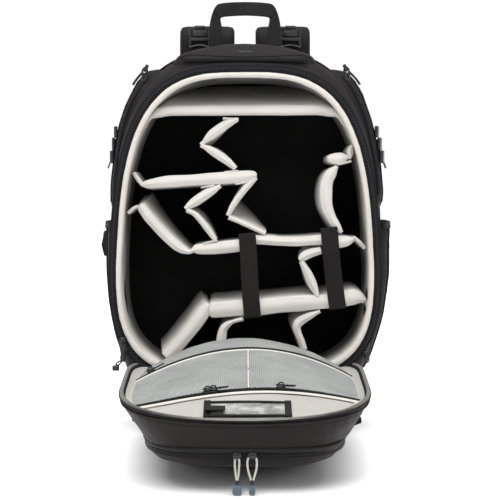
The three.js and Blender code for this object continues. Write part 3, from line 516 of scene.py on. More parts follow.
def frames_along(path, up, closed=False):
    """Tangent, across and normal at each point of a line."""
    path = np.asarray(path, float)
    if closed:
        tangent = np.roll(path, -1, axis=0) - np.roll(path, 1, axis=0)
    else:
        tangent = np.gradient(path, axis=0)
    tangent = unit(tangent)
    up = np.broadcast_to(np.asarray(up, float), path.shape)
    across = unit(np.cross(tangent, up))
    return tangent, across, unit(np.cross(across, tangent))


def sweep(path, section, up, closed=False, scale=None):
    """A section of (across, normal) points carried along a line."""
    _, across, normal = frames_along(path, up, closed)
    section = np.asarray(section, float)
    size = np.ones((len(path), 2)) if scale is None else np.asarray(scale, float)
    rows = (
        np.asarray(path)[:, None]
        + across[:, None] * (section[None, :, :1] * size[:, None, :1])
        + normal[:, None] * (section[None, :, 1:] * size[:, None, 1:])
    )
    count, sides = len(path), len(section)
    faces = grid_faces(count, sides, closed, True).tolist()
    if not closed:
        faces.append(list(range(sides))[::-1])
        faces.append([(count - 1) * sides + i for i in range(sides)])
    return rows.reshape(-1, 3), faces


def round_section(radius, sides=10):
    angle = np.linspace(0, 2 * math.pi, sides, endpoint=False)
    return np.stack([radius * np.cos(angle), radius * np.sin(angle)], axis=1)


def band_section(width, thickness, steps=6):
    """A flat band with rounded edges."""
    half, deep = width / 2, thickness / 2
    x = np.linspace(-half + deep * 0.6, half - deep * 0.6, steps)
    right = [(half, deep * 0.35), (half, -deep * 0.35)]
    left = [(-a, -b) for a, b in right]
    return np.array([(a, deep) for a in x] + right + [(a, -deep) for a in x[::-1]] + left)


def tube(path, radius, sides=10, closed=False, up=(0.3, 0.2, 1)):
    return sweep(path, round_section(radius, sides), up, closed)


def finished(made, bevel, segments):
    """Rounds the edges of a bmesh and returns its points and faces."""
    bmesh.ops.bevel(made, geom=made.edges[:], offset=bevel, segments=segments, profile=0.6, affect="EDGES")
    made.verts.index_update()
    points = np.array([v.co[:] for v in made.verts])
    faces = [[v.index for v in f.verts] for f in made.faces]
    made.free()
    return points, faces


def block(size, bevel, segments=2):
    """A box with rounded edges about its middle, as points and faces."""
    made = bmesh.new()
    bmesh.ops.create_cube(made, size=1.0)
    bmesh.ops.scale(made, vec=size, verts=made.verts)
    return finished(made, bevel, segments)


def place(part, at, along, normal):
    """Turns a part's x to along and its z to normal, and moves it."""
    points, faces = part
    x = unit(np.asarray(along, float))
    z = np.asarray(normal, float)
    z = unit(z - x * np.dot(z, x))
    y = np.cross(z, x)
    return points @ np.stack([x, y, z]) + np.asarray(at, float), faces


def moved(part, by):
    return part[0] + np.array(by), part[1]


def prism(outline, depth, bevel, segments=2):
    """An outline in x and z, given a depth along y and rounded edges."""
    made = bmesh.new()
    face = made.faces.new([made.verts.new((x, -depth / 2, z)) for x, z in outline])
    grown = bmesh.ops.extrude_face_region(made, geom=[face])["geom"]
    verts = [g for g in grown if isinstance(g, bmesh.types.BMVert)]
    bmesh.ops.translate(made, vec=(0, depth, 0), verts=verts)
    bmesh.ops.recalc_face_normals(made, faces=made.faces)
    return finished(made, bevel, segments)


def rounded_outline(half_x, half_z, radius):
    points, steps = [], 4
    for cx, cz, start in ((1, 1, 0), (-1, 1, 90), (-1, -1, 180), (1, -1, 270)):
        for k in range(steps + 1):
            angle = math.radians(start + 90 * k / steps)
            points.append((cx * (half_x - radius) + radius * math.cos(angle),
                           cz * (half_z - radius) + radius * math.sin(angle)))
    return points


def slab(top, thickness, down=(0, 0, -1.0)):
    """A closed sheet whose upper side is a grid of points, with its thickness below it."""
    rows, cols = top.shape[:2]
    under = top + np.array(down) * thickness
    points = np.vstack([top.reshape(-1, 3), under.reshape(-1, 3)])
    faces = grid_faces(rows, cols)
    n = rows * cols
    back = faces[:, ::-1] + n
    loop = (
        [(0, c) for c in range(cols)]
        + [(r, cols - 1) for r in range(1, rows)]
        + [(rows - 1, c) for c in range(cols - 2, -1, -1)]
        + [(r, 0) for r in range(rows - 2, 0, -1)]
    )
    edge = []
    for (ra, ca), (rb, cb) in zip(loop, loop[1:] + loop[:1]):
        a, b = ra * cols + ca, rb * cols + cb
        edge.append([a, a + n, b + n, b])
    return points, np.vstack([faces, back, edge])


def onto(obj, line, lift=0.0):
    """Lays a line on a piece's surface. Returns its points and the surface's normals there."""
    mesh = obj.data
    tree = BVHTree.FromPolygons([v.co for v in mesh.vertices], [f.vertices for f in mesh.polygons])
    spots, normals = [], []
    for p in np.asarray(line, float):
        spot, normal, _, _ = tree.find_nearest(Vector(p) * MM)
        spots.append(np.array(spot) / MM)
        normals.append(normal)
    spots, normals = np.array(spots), np.array(normals)
    for _ in range(6):
        normals[1:-1] = unit(normals[:-2] + normals[1:-1] + normals[2:])
        spots[1:-1] = (spots[:-2] + 2 * spots[1:-1] + spots[2:]) / 4
    return spots + normals * lift, normals


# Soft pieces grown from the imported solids.
def cad_copy(node, name):
    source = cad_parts[node]
    mesh = source.data.copy()
    mesh.materials.clear()
    obj = bpy.data.objects.new(name, mesh)
    scene.collection.objects.link(obj)
    return obj


def apply_modifiers(obj):
    bpy.context.view_layer.update()
    evaluated = obj.evaluated_get(bpy.context.evaluated_depsgraph_get())
    mesh = bpy.data.meshes.new_from_object(evaluated)
    old = obj.data
    obj.modifiers.clear()
    obj.data = mesh
    bpy.data.meshes.remove(old)


def read_points(mesh):
    co = np.zeros(len(mesh.vertices) * 3)
    mesh.vertices.foreach_get("co", co)
    return co.reshape(-1, 3) / MM


def write_points(mesh, points):
    mesh.vertices.foreach_set("co", (points * MM).ravel())
    mesh.update()


def mesh_normals(mesh):
    n = np.zeros(len(mesh.vertices) * 3)
    mesh.vertices.foreach_get("normal", n)
    return n.reshape(-1, 3)


def relax(mesh, times):
    """Evens out a mesh by moving its points towards their neighbours' middle."""
    points = read_points(mesh)
    edges = np.zeros(len(mesh.edges) * 2, np.int64)
    mesh.edges.foreach_get("vertices", edges)
    a, b = edges[0::2], edges[1::2]
    count = np.bincount(edges, minlength=len(points))[:, None]
    for _ in range(times):
        total = np.zeros_like(points)
        np.add.at(total, a, points[b])
        np.add.at(total, b, points[a])
        points = mix(points, total / count, 0.6)
    write_points(mesh, points)


def inflate(obj, pressure, cap):
    """Blows a piece up as cloth and caps how far a point of it may move, in millimetres."""
    frames = 20
    start = read_points(obj.data)
    cloth = obj.modifiers.new("cloth", "CLOTH")
    settings = cloth.settings
    settings.quality = 5
    settings.mass = 0.3
    settings.tension_stiffness = settings.compression_stiffness = 12
    settings.bending_stiffness = 0.6
    settings.use_pressure = True
    settings.uniform_pressure_force = pressure
    settings.effector_weights.gravity = 0
    cloth.collision_settings.use_collision = False
    cloth.point_cache.frame_start = 1
    cloth.point_cache.frame_end = frames
    for f in range(1, frames + 1):
        scene.frame_set(f)
    apply_modifiers(obj)
    scene.frame_set(1)
    moved = read_points(obj.data) - start
    length = np.linalg.norm(moved, axis=1, keepdims=True)
    limit = cap * np.tanh(length / cap) / np.maximum(length, 1e-6)
    write_points(obj.data, start + moved * limit)


def soft_piece(node, name, material, slot, voxel, cap, pressure=4, folds=(), seams=(),
               seam_look=None):
    """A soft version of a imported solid: remeshed, swollen as cloth, folded, then given its seams."""
    obj = cad_copy(node, name)
    remesh = obj.modifiers.new("remesh", "REMESH")
    remesh.mode = "VOXEL"
    remesh.voxel_size = voxel * MM
    apply_modifiers(obj)
    relax(obj.data, 3)
    inflate(obj, pressure, cap)
    smoother = obj.modifiers.new("smoother", "SUBSURF")
    smoother.levels = smoother.render_levels = 1
    apply_modifiers(obj)
    points, normals = read_points(obj.data), mesh_normals(obj.data)
    points = crumple(points, normals, folds)
    if seams:
        points = stitch_in(points, normals, seams, **(seam_look or {}))
    write_points(obj.data, points)
    obj.data.materials.append(material)
    obj.data.shade_smooth()
    dress(obj, slot, (node,))


# Materials.
def nodes_of(name):
    material = bpy.data.materials.new(name)
    material.use_nodes = True
    tree = material.node_tree
    return material, tree, tree.nodes["Principled BSDF"]


def set_values(node, values):
    for key, value in values.items():
        node.inputs[key].default_value = value


def add_node(tree, kind, values=None, **settings):
    node = tree.nodes.new(kind)
    for key, value in settings.items():
        setattr(node, key, value)
    set_values(node, values or {})
    return node


def math_node(tree, operation, a, b=None):
    node = tree.nodes.new("ShaderNodeMath")
    node.operation = operation
    for k, value in enumerate((a, b)):
        if value is None:
            continue
        if isinstance(value, (int, float)):
            node.inputs[k].default_value = value
        else:
            tree.links.new(value, node.inputs[k])
    return node.outputs[0]


def place_xyz(tree, pitch, turn=(0, 0, 0)):
    """Three running angles along the object's axes, a full turn for each pitch in millimetres."""
    turns = 2 * math.pi / (pitch * MM)
    angles = [math.radians(a) for a in turn]
    mapping = add_node(tree, "ShaderNodeMapping", {"Scale": (turns, turns, turns), "Rotation": angles})
    tree.links.new(add_node(tree, "ShaderNodeTexCoord").outputs["Object"], mapping.inputs["Vector"])
    split = add_node(tree, "ShaderNodeSeparateXYZ")
    tree.links.new(mapping.outputs[0], split.inputs[0])
    return split.outputs


def weave_height(tree, pitch):
    """The over and under of threads, on a face that looks along any axis."""
    x, y, z = (math_node(tree, "SINE", axis) for axis in place_xyz(tree, pitch))
    xy, yz, zx = (math_node(tree, "MULTIPLY", a, b) for a, b in ((x, y), (y, z), (z, x)))
    return math_node(tree, "ADD", math_node(tree, "ADD", xy, yz), zx)


def noise_node(tree, scale, detail):
    node = add_node(tree, "ShaderNodeTexNoise", {"Scale": scale, "Detail": detail, "Roughness": 0.6})
    tree.links.new(add_node(tree, "ShaderNodeTexCoord").outputs["Object"], node.inputs["Vector"])
    return node.outputs["Fac"]


def ramp(tree, fac, stops):
    node = add_node(tree, "ShaderNodeValToRGB")
    elements = node.color_ramp.elements
    while len(elements) < len(stops):
        elements.new(0.5)
    for element, (at, colour) in zip(elements, stops):
        element.position = at
        element.color = (*colour, 1)
    tree.links.new(fac, node.inputs["Fac"])
    return node.outputs["Color"]


def scaled(colour, by):
    return tuple(min(1.0, c * by) for c in colour)


def bump(tree, shader, height, distance, strength=1.0):
    node = add_node(tree, "ShaderNodeBump", {"Strength": strength, "Distance": distance * MM})
    tree.links.new(height, node.inputs["Height"])
    tree.links.new(node.outputs[0], shader.inputs["Normal"])


def range_node(tree, socket, low=0.0, high=1.0, start=0.0, end=1.0, kind="LINEAR"):
    """Maps a value from low and high to start and end."""
    limits = {"From Min": low, "From Max": high, "To Min": start, "To Max": end}
    node = add_node(tree, "ShaderNodeMapRange", limits, interpolation_type=kind)
    tree.links.new(socket, node.inputs["Value"])
    return node.outputs[0]


def blend_node(tree, share, first, second):
    """Mixes two colours, each a socket or a plain colour."""
    node = add_node(tree, "ShaderNodeMix", data_type="RGBA")
    tree.links.new(share, node.inputs[0])
    for index, value in ((MIX_FIRST, first), (MIX_SECOND, second)):
        if isinstance(value, tuple):
            node.inputs[index].default_value = (*value, 1)
        else:
            tree.links.new(value, node.inputs[index])
    return node.outputs[MIX_RESULT]


def fabric(name, colour, thread=1.0, relief=0.12, rough=0.8, sheen=0.3, sheen_tint=(1, 1, 1), specular=0.3,
           mottle=0.12, fuzz=0.0, contrast=0.25):
    """Woven or brushed cloth: thread is the pitch of its weave in millimetres, relief its height."""
    material, tree, shader = nodes_of(name)
    patches = noise_node(tree, 16, 4)
    fine = noise_node(tree, 420, 2)
    weave = weave_height(tree, thread)
    lifted = math_node(tree, "MULTIPLY_ADD", weave, contrast / 3)
    lifted.node.inputs[2].default_value = 0.5
    both = math_node(tree, "MULTIPLY", patches, 0.7)
    both = math_node(tree, "ADD", both, math_node(tree, "MULTIPLY", fine, 0.3))
    shade = math_node(tree, "ADD", math_node(tree, "SUBTRACT", both, 0.5), lifted)
    low, high = scaled(colour, 1 - 2.2 * mottle), scaled(colour, 1 + 2.2 * mottle)
    tree.links.new(ramp(tree, shade, [(0.25, low), (0.75, high)]), shader.inputs["Base Color"])
    roughness = range_node(tree, fine, start=rough - 0.08, end=min(1.0, rough + 0.08))
    tree.links.new(roughness, shader.inputs["Roughness"])
    height = math_node(tree, "MULTIPLY", weave, 0.33)
    bump(tree, shader, math_node(tree, "ADD", height, math_node(tree, "MULTIPLY", fine, fuzz)), relief)
    set_values(shader, {"Sheen Weight": sheen, "Sheen Roughness": 0.45, "Sheen Tint": (*sheen_tint, 1),
                        "Specular IOR Level": specular})
    return material


def plastic(name, colour, rough=0.35, specular=0.4):
    material, tree, shader = nodes_of(name)
    grain = noise_node(tree, 900, 2)
    patches = noise_node(tree, 60, 3)
    shade = ramp(tree, patches, [(0.3, scaled(colour, 0.85)), (0.7, scaled(colour, 1.2))])
    tree.links.new(shade, shader.inputs["Base Color"])
    roughness = range_node(tree, patches, start=rough - 0.06, end=rough + 0.1)
    tree.links.new(roughness, shader.inputs["Roughness"])
    bump(tree, shader, grain, 0.05, 0.5)
    shader.inputs["Specular IOR Level"].default_value = specular
    return material


def net(name, thread_colour, hole_shade, pitch=3.4):
    """A fine net of crossing threads, its holes painted dark as the shade of the pocket behind them."""
    material, tree, shader = nodes_of(name)
    x, y, _ = place_xyz(tree, pitch, (0, 0, 45))
    crossing = math_node(tree, "MAXIMUM", math_node(tree, "SINE", x), math_node(tree, "SINE", y))
    patches = noise_node(tree, 22, 3)
    thread = ramp(tree, patches, [(0.35, scaled(thread_colour, 0.86)), (0.65, scaled(thread_colour, 1.1))])
    shade = blend_node(tree, range_node(tree, crossing, 0.35, 0.8), hole_shade, thread)
    tree.links.new(shade, shader.inputs["Base Color"])
    bump(tree, shader, crossing, 0.3)
    set_values(shader, {"Roughness": 0.55, "Specular IOR Level": 0.35})
    return material


BLACK = (0.0066, 0.0056, 0.0058)
WARM = (0.0078, 0.0064, 0.0062)
# The lid lining's pale cloth, made darker as painted shade against the sun on the lid.
LIGHT = (0.30, 0.287, 0.268)
DIM = {"sheen": 0.035, "sheen_tint": (1, 0.92, 0.95), "specular": 0.12}
PALE = {"sheen": 0.15, "sheen_tint": (1, 0.98, 0.95), "specular": 0.12}
PADDING = {"mottle": 0.05, "fuzz": 0.8, **PALE}
NYLON = {"mottle": 0.15, "fuzz": 0.3, **DIM}
BAND = {"mottle": 0.2, "fuzz": 0.2, **DIM}
# The colour of the painted shade deep in the compartment.
PAINTED_SHADE_COLOUR = (0.006, 0.006, 0.006)
MIX_FIRST, MIX_SECOND, MIX_RESULT = 6, 7, 2
mat = {
    "shell_fabric": fabric("woven_nylon", BLACK, 1.0, 0.10, 0.62, mottle=0.16, fuzz=0.3, **DIM),
    "lid_fabric": fabric("lid_nylon", WARM, 1.0, 0.10, 0.6, mottle=0.16, fuzz=0.3, **DIM),
    "pocket_fabric": fabric("ribbed_nylon", WARM, 1.7, 0.22, 0.55, mottle=0.22, fuzz=0.2, **DIM),
    # lining_fabric, divider_fabric and wall_lining are one pale cloth at three brightnesses: the lid's lining
    # darker as painted shade against the sun, the dividers and walls brighter as painted light for the dim
    # compartment.
    "lining_fabric": fabric("brushed_lining", LIGHT, 0.8, 0.06, 0.95, **PADDING),
    "divider_fabric": fabric("divider_cloth", (0.45, 0.43, 0.405), 0.8, 0.06, 0.95, **PADDING),
    "wall_lining": fabric("wall_lining", (0.64, 0.61, 0.57), 0.8, 0.06, 0.95, **PADDING),
    # Dark cloth for the back wall, kept near black also as painted shade for the depth of the compartment.
    "dark_lining": fabric("dark_lining", (0.007, 0.007, 0.007), 0.9, 0.06, 0.95, mottle=0.15, fuzz=0.8,
                          sheen=0.03, specular=0.06),
    "strap_fabric": fabric("strap_nylon", BLACK, 1.2, 0.12, 0.65, **NYLON),
    "back_mesh": fabric("spacer_mesh", (0.010, 0.010, 0.011), 4.2, 0.8, 0.8, mottle=0.3, fuzz=0.2,
                        contrast=0.9, sheen=0.08, specular=0.15),
    "hinge_fabric": fabric("hinge_nylon", BLACK, 1.0, 0.10, 0.7, **NYLON),
    "piping": fabric("piping_cloth", (0.45, 0.428, 0.395), 1.0, 0.08, 0.9, mottle=0.05, fuzz=0.5, **PALE),
    "zip_tape": fabric("zip_tape", (0.0045, 0.0045, 0.0058), 1.3, 0.15, 0.7, mottle=0.15, fuzz=0.2,
                       sheen=0.03, specular=0.12),
    "handle_webbing": fabric("handle_webbing", (0.0105, 0.0100, 0.0102), 2.2, 0.35, 0.6, **BAND),
    "webbing": fabric("webbing", (0.0085, 0.0080, 0.0082), 1.8, 0.3, 0.6, **BAND),
    "elastic": fabric("elastic_band", (0.0095, 0.0086, 0.0084), 1.5, 0.3, 0.8, mottle=0.2, fuzz=0.2,
                      sheen=0.04, specular=0.1),
    "buckle_plastic": plastic("buckle_plastic", (0.008, 0.008, 0.0085), 0.3, 0.35),
    "teeth": plastic("zip_teeth_grey", (0.10, 0.097, 0.088), 0.4, 0.3),
    "dark_teeth": plastic("zip_teeth_black", (0.010, 0.010, 0.011), 0.4, 0.25),
    "pull_cord": fabric("pull_cord", (0.36, 0.345, 0.32), 1.2, 0.25, 0.7, mottle=0.12, fuzz=0.4, sheen=0.1,
                        specular=0.2),
    "pull_tab": plastic("pull_rubber", (0.055, 0.075, 0.098), 0.45, 0.3),
    # The net's dark hole colour is painted shade inside the pocket.
    "mesh": net("pocket_net", (0.36, 0.367, 0.355), (0.06, 0.067, 0.07)),
    "window_frame": fabric("frame_binding", (0.009, 0.0082, 0.0080), 1.1, 0.15, 0.7, **NYLON),
}


def paint_depth_shade(material, reach, ceiling=False):
    """Paints shade into a pale cloth: darker with depth in the compartment and, if asked, a painted shadow
    under the middle of its ceiling.
    """
    tree = material.node_tree
    shader = next(n for n in tree.nodes if n.type == "BSDF_PRINCIPLED")
    base = shader.inputs["Base Color"].links[0].from_socket
    split = add_node(tree, "ShaderNodeSeparateXYZ")
    tree.links.new(add_node(tree, "ShaderNodeTexCoord").outputs["Object"], split.inputs[0])
    x, y, z = split.outputs

    def span(socket, low, high, start=0.0, end=1.0):
        return range_node(tree, socket, low, high, start, end, "SMOOTHSTEP")

    share = span(y, -0.066, reach, 0.0, 0.92)
    if ceiling:
        middle = span(math_node(tree, "ABSOLUTE", x), 0.055, 0.125, 1.0, 0.0)
        middle = math_node(tree, "MULTIPLY", middle, span(z, 0.455, 0.485))
        middle = math_node(tree, "MULTIPLY", middle, span(y, -0.0825, -0.0805))
        share = math_node(tree, "MAXIMUM", share, middle)
    tree.links.new(blend_node(tree, share, base, PAINTED_SHADE_COLOUR), shader.inputs["Base Color"])


# Painted shade: the walls and dividers turn dark with depth, and the walls take a painted shadow under the
# middle of the ceiling.
paint_depth_shade(mat["wall_lining"], 0.045, True)
paint_depth_shade(mat["divider_fabric"], 0.085)


def clear_plastic(name):
    material, tree, shader = nodes_of(name)
    haze = noise_node(tree, 45, 3)
    shade = ramp(tree, haze, [(0.4, (0.17, 0.175, 0.165)), (0.62, (0.36, 0.37, 0.35))])
    tree.links.new(shade, shader.inputs["Base Color"])
    bump(tree, shader, haze, 1.2)
    set_values(shader, {"Roughness": 0.12, "Specular IOR Level": 0.7, "Coat Weight": 0.6})
    return material


mat["clear_window"] = clear_plastic("window_film")


# Zips.
def zip_parts(path, up, width, pitch=2.5, tooth=(1.5, 3.6, 1.3), thickness=0.9):
    """The tape of a zip and its two rows of teeth, along the zip's middle line."""
    tape = sweep(path, band_section(width, thickness, 8), up)
    length = np.linalg.norm(np.diff(path, axis=0), axis=1).sum()
    count = max(4, int(length / pitch))
    line = evenly(path, count)
    if np.ndim(up) > 1:
        # A slight drift keeps equal directions apart, so that they can be spread along the zip.
        up = evenly(up + 1e-7 * np.arange(len(up))[:, None], count)
    tangent, across, normal = frames_along(line, up)
    points, faces = block(tooth, 0.28, 1)
    side = np.where(np.arange(count) % 2, 1.0, -1.0)[:, None]
    middle = line + across * side * 0.75 + normal * (thickness / 2 + tooth[2] * 0.3)
    spun = (
        points[None, :, :1] * tangent[:, None]
        + points[None, :, 1:2] * across[:, None]
        + points[None, :, 2:] * normal[:, None]
        + middle[:, None]
    ).reshape(-1, 3)
    many = [[i + k * len(points) for i in f] for k in range(count) for f in faces]
    return tape, (spun, many)


def make_zip(name, tape, teeth, replaces=(), metal="dark_teeth"):
    make(f"{name}_tape", *tape, mat["zip_tape"], "zip_tape", replaces)
    make(f"{name}_teeth", *teeth, mat[metal], "zip_tape")


def slider_parts(at, along, normal, size=1.0):
    """A zip slider: two plates with a waist, a bridge and a flat pull."""
    body = [(-5.2, -2.6), (-3, -4.2), (3.4, -3.6), (5, -1.4), (5, 1.4), (3.4, 3.6), (-3, 4.2), (-5.2, 2.6)]
    parts = []
    for lift in (0.6, 3.4):
        plate = prism(body, 1.3, 0.35, 1)
        parts.append((plate[0][:, [0, 2, 1]] + [0, 0, lift], plate[1]))
    parts.append(moved(block((2.4, 2.2, 3.4), 0.5, 1), [3, 0, 2]))
    arch = curve([(-2.6, 0, 4), (-1.6, 0, 6), (1.6, 0, 6), (2.6, 0, 4)], 10)
    parts.append(tube(arch, 0.75, 6, up=(0, 1, 0)))
    points, faces = join_parts(parts)
    return place((points * size, faces), at, along, normal)


# The shell, its lining and its rim.
def shell_piece():
    count = 320
    mouth = [(BACK_Y - SHELL_WALL, GAP), (RIM_Y + 6, GAP), (RIM_Y + 0.8, GAP + 0.2), (RIM_Y + 0.1, 1.2),
             (RIM_Y, 3), (RIM_Y + 0.1, RIM_WIDTH - 1)]
    rings = [front_ring(y, opening(grow), count) for y, grow in mouth]
    shares = np.concatenate([[0.008], np.linspace(0.02, 0.4, 20), np.linspace(0.42, 0.9, 22),
                             np.linspace(0.91, 1, 9)])
    rings += [shell_ring(share, 0, count) for share in shares]
    last = rings[-1]
    middle = np.array([0, BACK_Y, SHELL_MIDDLE])
    for share in (0.985, 0.96, 0.92, 0.86, 0.78, 0.68, 0.56, 0.42, 0.28, 0.14):
        ring = mix(middle, last, share)
        ring[:, 1] = BACK_Y
        rings.append(ring)
    grid = np.stack(rings)
    even_rows(grid, len(mouth), len(grid) - 1, 3)
    points, faces, normals, rows = skin(grid)
    outside = smooth((rows - 6) / 6.0)
    points = mix(points, trimmed(points), smooth((rows - 8) / 5.0)[:, None])
    low = smooth((points[:, 2] - 8) / 40)
    folds = [((70, 26, 90), 1.5, 11), ((38, 14, 60), 0.8, 12), (18, 0.35, 13), (7, 0.10, 14)]
    points = crumple(points, normals, folds, outside * low)
    seams = [shell_ring(0.3, 0.0, 240), shell_ring(0.9, 0.0, 240)]
    keep = points[:, 2].copy()
    points = stitch_in(points, normals * low[:, None], seams, 1.5, 2.2, 1.0, 20, 17, 21)
    points[:, 2] = np.maximum(points[:, 2], np.minimum(keep, 0.3))
    points[:, 1] = np.minimum(points[:, 1], BACK_Y + 1.0)
    ends = caps(len(rings), count)[::-1]
    cover = make("shell_cover", points, faces, mat["shell_fabric"], "shell_fabric", ("shell",), ends)
    cords = []
    for share, grow in ((0.305, 0.7), (0.905, 0.5)):
        line = shell_ring(share, grow, 360)
        line = line[line[:, 2] > 10]
        cut = np.argmax(np.linalg.norm(np.roll(line, -1, axis=0) - line, axis=1)) + 1
        cords.append(tube(trimmed(np.roll(line, -cut, axis=0)), 1.7, 8, up=(0, 1, 0.01)))
    make("shell_seam_cords", *join_parts(cords), mat["shell_fabric"], "shell_fabric")


def lining_piece():
    count = 320
    steps = [(LINING_FRONT + 3, 0), (LINING_FRONT + 0.5, -0.6), (LINING_FRONT, -2.5),
             (LINING_FRONT + 0.5, -5.2)]
    steps += [(y, -LINING_WALL) for y in np.linspace(LINING_FRONT + 2.5, LINING_BACK, 44)]
    last_seen = len(steps)
    steps += [(LINING_BACK, -3), (LINING_BACK, -0.2), (mix(LINING_FRONT, LINING_BACK, 0.5), -0.2)]
    points = np.vstack([front_ring(y, opening(inset), count) for y, inset in steps])
    faces = grid_faces(len(steps), count, True, True)
    out = unit(front_ring(0, opening(0), count) - front_ring(0, opening(-6), count))
    out = np.tile(out, (len(steps), 1))
    rows = np.repeat(np.arange(len(steps)), count)
    inside = smooth((rows - 2) / 3) * (rows < last_seen)
    points = crumple(points, out, [((60, 45, 60), 0.8, 31), ((22, 30, 22), 0.35, 32), (8, 0.08, 33)], inside)
    obj = make("lining_wall", points, faces, mat["wall_lining"], "lining_fabric", ("lining",))


def back_wall_piece():
    # The back wall is dark cloth, near black also as painted shade deep in the compartment.
    count = 200
    y_front, y_back = BACK_LINING
    middle = np.array([0, y_front, 290.0])
    outer = front_ring(y_front, opening(-GAP), count)
    shares = [1, 0.97, 0.9, 0.8, 0.7, 0.6, 0.5, 0.4, 0.3, 0.2, 0.1]
    rings = [front_ring(y_back, opening(-GAP), count)] + [mix(middle, outer, s) for s in shares]
    points = np.vstack(rings)
    faces = grid_faces(len(rings), count, False, True)
    held = np.repeat([0, 0] + [1] * (len(rings) - 2), count)
    folds = [((80, 10, 110), 1.4, 41), ((30, 10, 30), 0.4, 42)]
    points = crumple(points, facing(points, FORWARD), folds, held)
    ends = caps(len(rings), count)[::-1]
    obj = make("back_wall", points, faces, mat["dark_lining"], "dark_lining", ("back_lining",), ends)


def rim_pieces():
    count, sides = 420, 12
    rings = []
    for angle in np.linspace(0, 2 * math.pi, sides, endpoint=False):
        inset = PIPING * (math.cos(angle) - 1)
        rings.append(front_ring(RIM_Y + PIPING * 0.98 * math.sin(angle), opening(inset), count))
    points = np.vstack(rings)
    out = unit(points - np.tile(np.mean(np.stack(rings), axis=0), (sides, 1)))
    turn = np.tile(np.arange(count), sides)
    ripple = 0.10 * np.sin(turn * 2 * math.pi / 4.0 + 3 * noise(points, 30, 5))
    points = points + out * (ripple + 0.25 * noise(points, 14, 51))[:, None]
    faces = grid_faces(sides, count, True, True)
    make("rim_piping_tube", points, faces, mat["piping"], "piping", ("rim_piping",))

    reach = RIM_WIDTH + ZIP_WIDTH / 2
    line = front_ring(RIM_Y - GAP - 0.55, opening(mix(GAP, reach, 0.5)), 520)
    line = open_part(line, ~((line[:, 2] < WAIST) & (np.abs(line[:, 0]) < HINGE_HALF)))
    tape, teeth = zip_parts(line, FORWARD, reach - GAP, pitch=2.4, tooth=(1.4, 3.4, 1.1))
    make_zip("body_zip", tape, teeth, ("body_zip",))


def hinge_piece():
    count = 60
    x = np.linspace(-HINGE_HALF + 6, HINGE_HALF - 6, count)
    edges = []
    for grow in (RIM_WIDTH + ZIP_WIDTH / 2, GAP + 1):
        ring = front_ring(RIM_Y, opening(grow), 600)
        under = ring[ring[:, 2] < WAIST]
        order = np.argsort(under[:, 0])
        edges.append(np.interp(x, under[order, 0], under[order, 2]))
    rows = []
    for t in np.linspace(0, 1, 12):
        y = RIM_Y - GAP - 1.5 - 3.4 * math.sin(math.pi * t)
        rows.append(np.stack([x, np.full(count, y), mix(*edges, t)], axis=1))
    top = np.stack(rows)
    points, faces = slab(top, 1.0, BACKWARD)
    points = crumple(points, facing(points, FORWARD), [((22, 10, 12), 0.5, 61)])
    cloth = make("hinge_cloth", points, faces, mat["hinge_fabric"], "hinge_fabric", ("hinge_panel",))
    area = sheet_area(top) * MM * MM


# The lid.
def lid_piece():
    count = 320
    shares = np.concatenate([[0, 0.03], np.linspace(0.08, 0.97, 30)])
    rings = [lid_ring(share, count=count) for share in shares]
    rim = lid_ring(1, count=count)
    rings += [spread(rim, 0, -0.8), spread(rim, -0.8, 0), spread(rim, -LID["wall"] + 0.8, 0)]
    rings += [lid_ring(share, LID["wall"], LID["wall"], count) for share in (0.98, 0.9, 0.6, 0.3, 0.0)]
    grid = np.stack(rings)
    even_rows(grid, 2, 31, 3)
    points, faces, normals, rows = skin(grid)
    outside = (rows < 32) * smooth((32 - rows) / 4.0) * smooth(rows / 2.0)
    folds = [((110, 60, 16), 1.3, 71), ((60, 40, 22), 0.9, 72), ((26, 26, 12), 0.5, 73), (8, 0.14, 74)]
    points = crumple(points, normals, folds, outside)
    centre = []
    for share in np.linspace(0.05, 0.86, 12):
        ring = lid_ring(share, count=800)
        centre.append(ring[np.argmin(np.abs(ring[:, 0] - 3) + (ring[:, 1] > -300) * 1e3)])
    seams = [closed_line(lid_ring(0.88, count=count)), np.array(centre)]
    points = stitch_in(points, normals, seams, 1.4, 2.0, 0.9, 16, 15, 75)
    ends = caps(len(rings), count)
    obj = make("lid_wall", points, faces, mat["lid_fabric"], "shell_fabric", ("lid_shell",), ends)
    cords = []
    for share, grow, radius in ((0.90, 0.6, 1.5), (0.045, 1.2, 2.2)):
        line = spread(lid_ring(share, count=360), grow)
        cords.append(tube(line, radius, 8, True, up=(0, 0.01, 1)))
    make("lid_seam_cords", *join_parts(cords), mat["lid_fabric"], "shell_fabric")


def lid_zip_pieces():
    line = spread(lid_ring(1, count=600), -1.6, 0.3)
    line = open_part(line, line[:, 1] < RIM_Y - LID_RISE)
    tape, teeth = zip_parts(line, (0, 0, 1), 7, pitch=1.4, tooth=(0.85, 3.4, 2.9))
    make_zip("lid_zip", tape, moved(teeth, [0, 0, 0.7]), ("lid_zip",), "teeth")


def lining_grid(stations_from, stations_to, across, along, clear, margin):
    a = np.linspace(0, 1, across)
    rows = []
    for t in np.linspace(0, 1, along):
        station = mix(stations_from(a), stations_to(a), t)
        rows.append(on_lining((2 * a - 1) * (lining_wide(station) - margin), station, clear))
    return np.stack(rows)


def lid_lining_pieces():
    across = 70
    along = 0.003 + 0.994 * (0.5 - np.cos(np.linspace(0, 1, 90) * math.pi) / 2)
    a = np.linspace(-1, 1, across)
    rows = []
    for t in along:
        station = np.full(across, LINING_FROM + (LINING_TO - LINING_FROM) * t)
        rows.append(on_lining(a * lining_wide(station), station))
    top = np.stack(rows)
    top[..., 2] += 0.45 * noise(top, (50, 60, 50), 81) + 0.3 * noise(top, (18, 26, 20), 82) - 0.35
    points, faces = slab(top, 2.4)
    obj = make("lid_lining_cloth", points, faces, mat["lining_fabric"], "lining_fabric", ("lid_lining",))
    lid_gusset_piece()


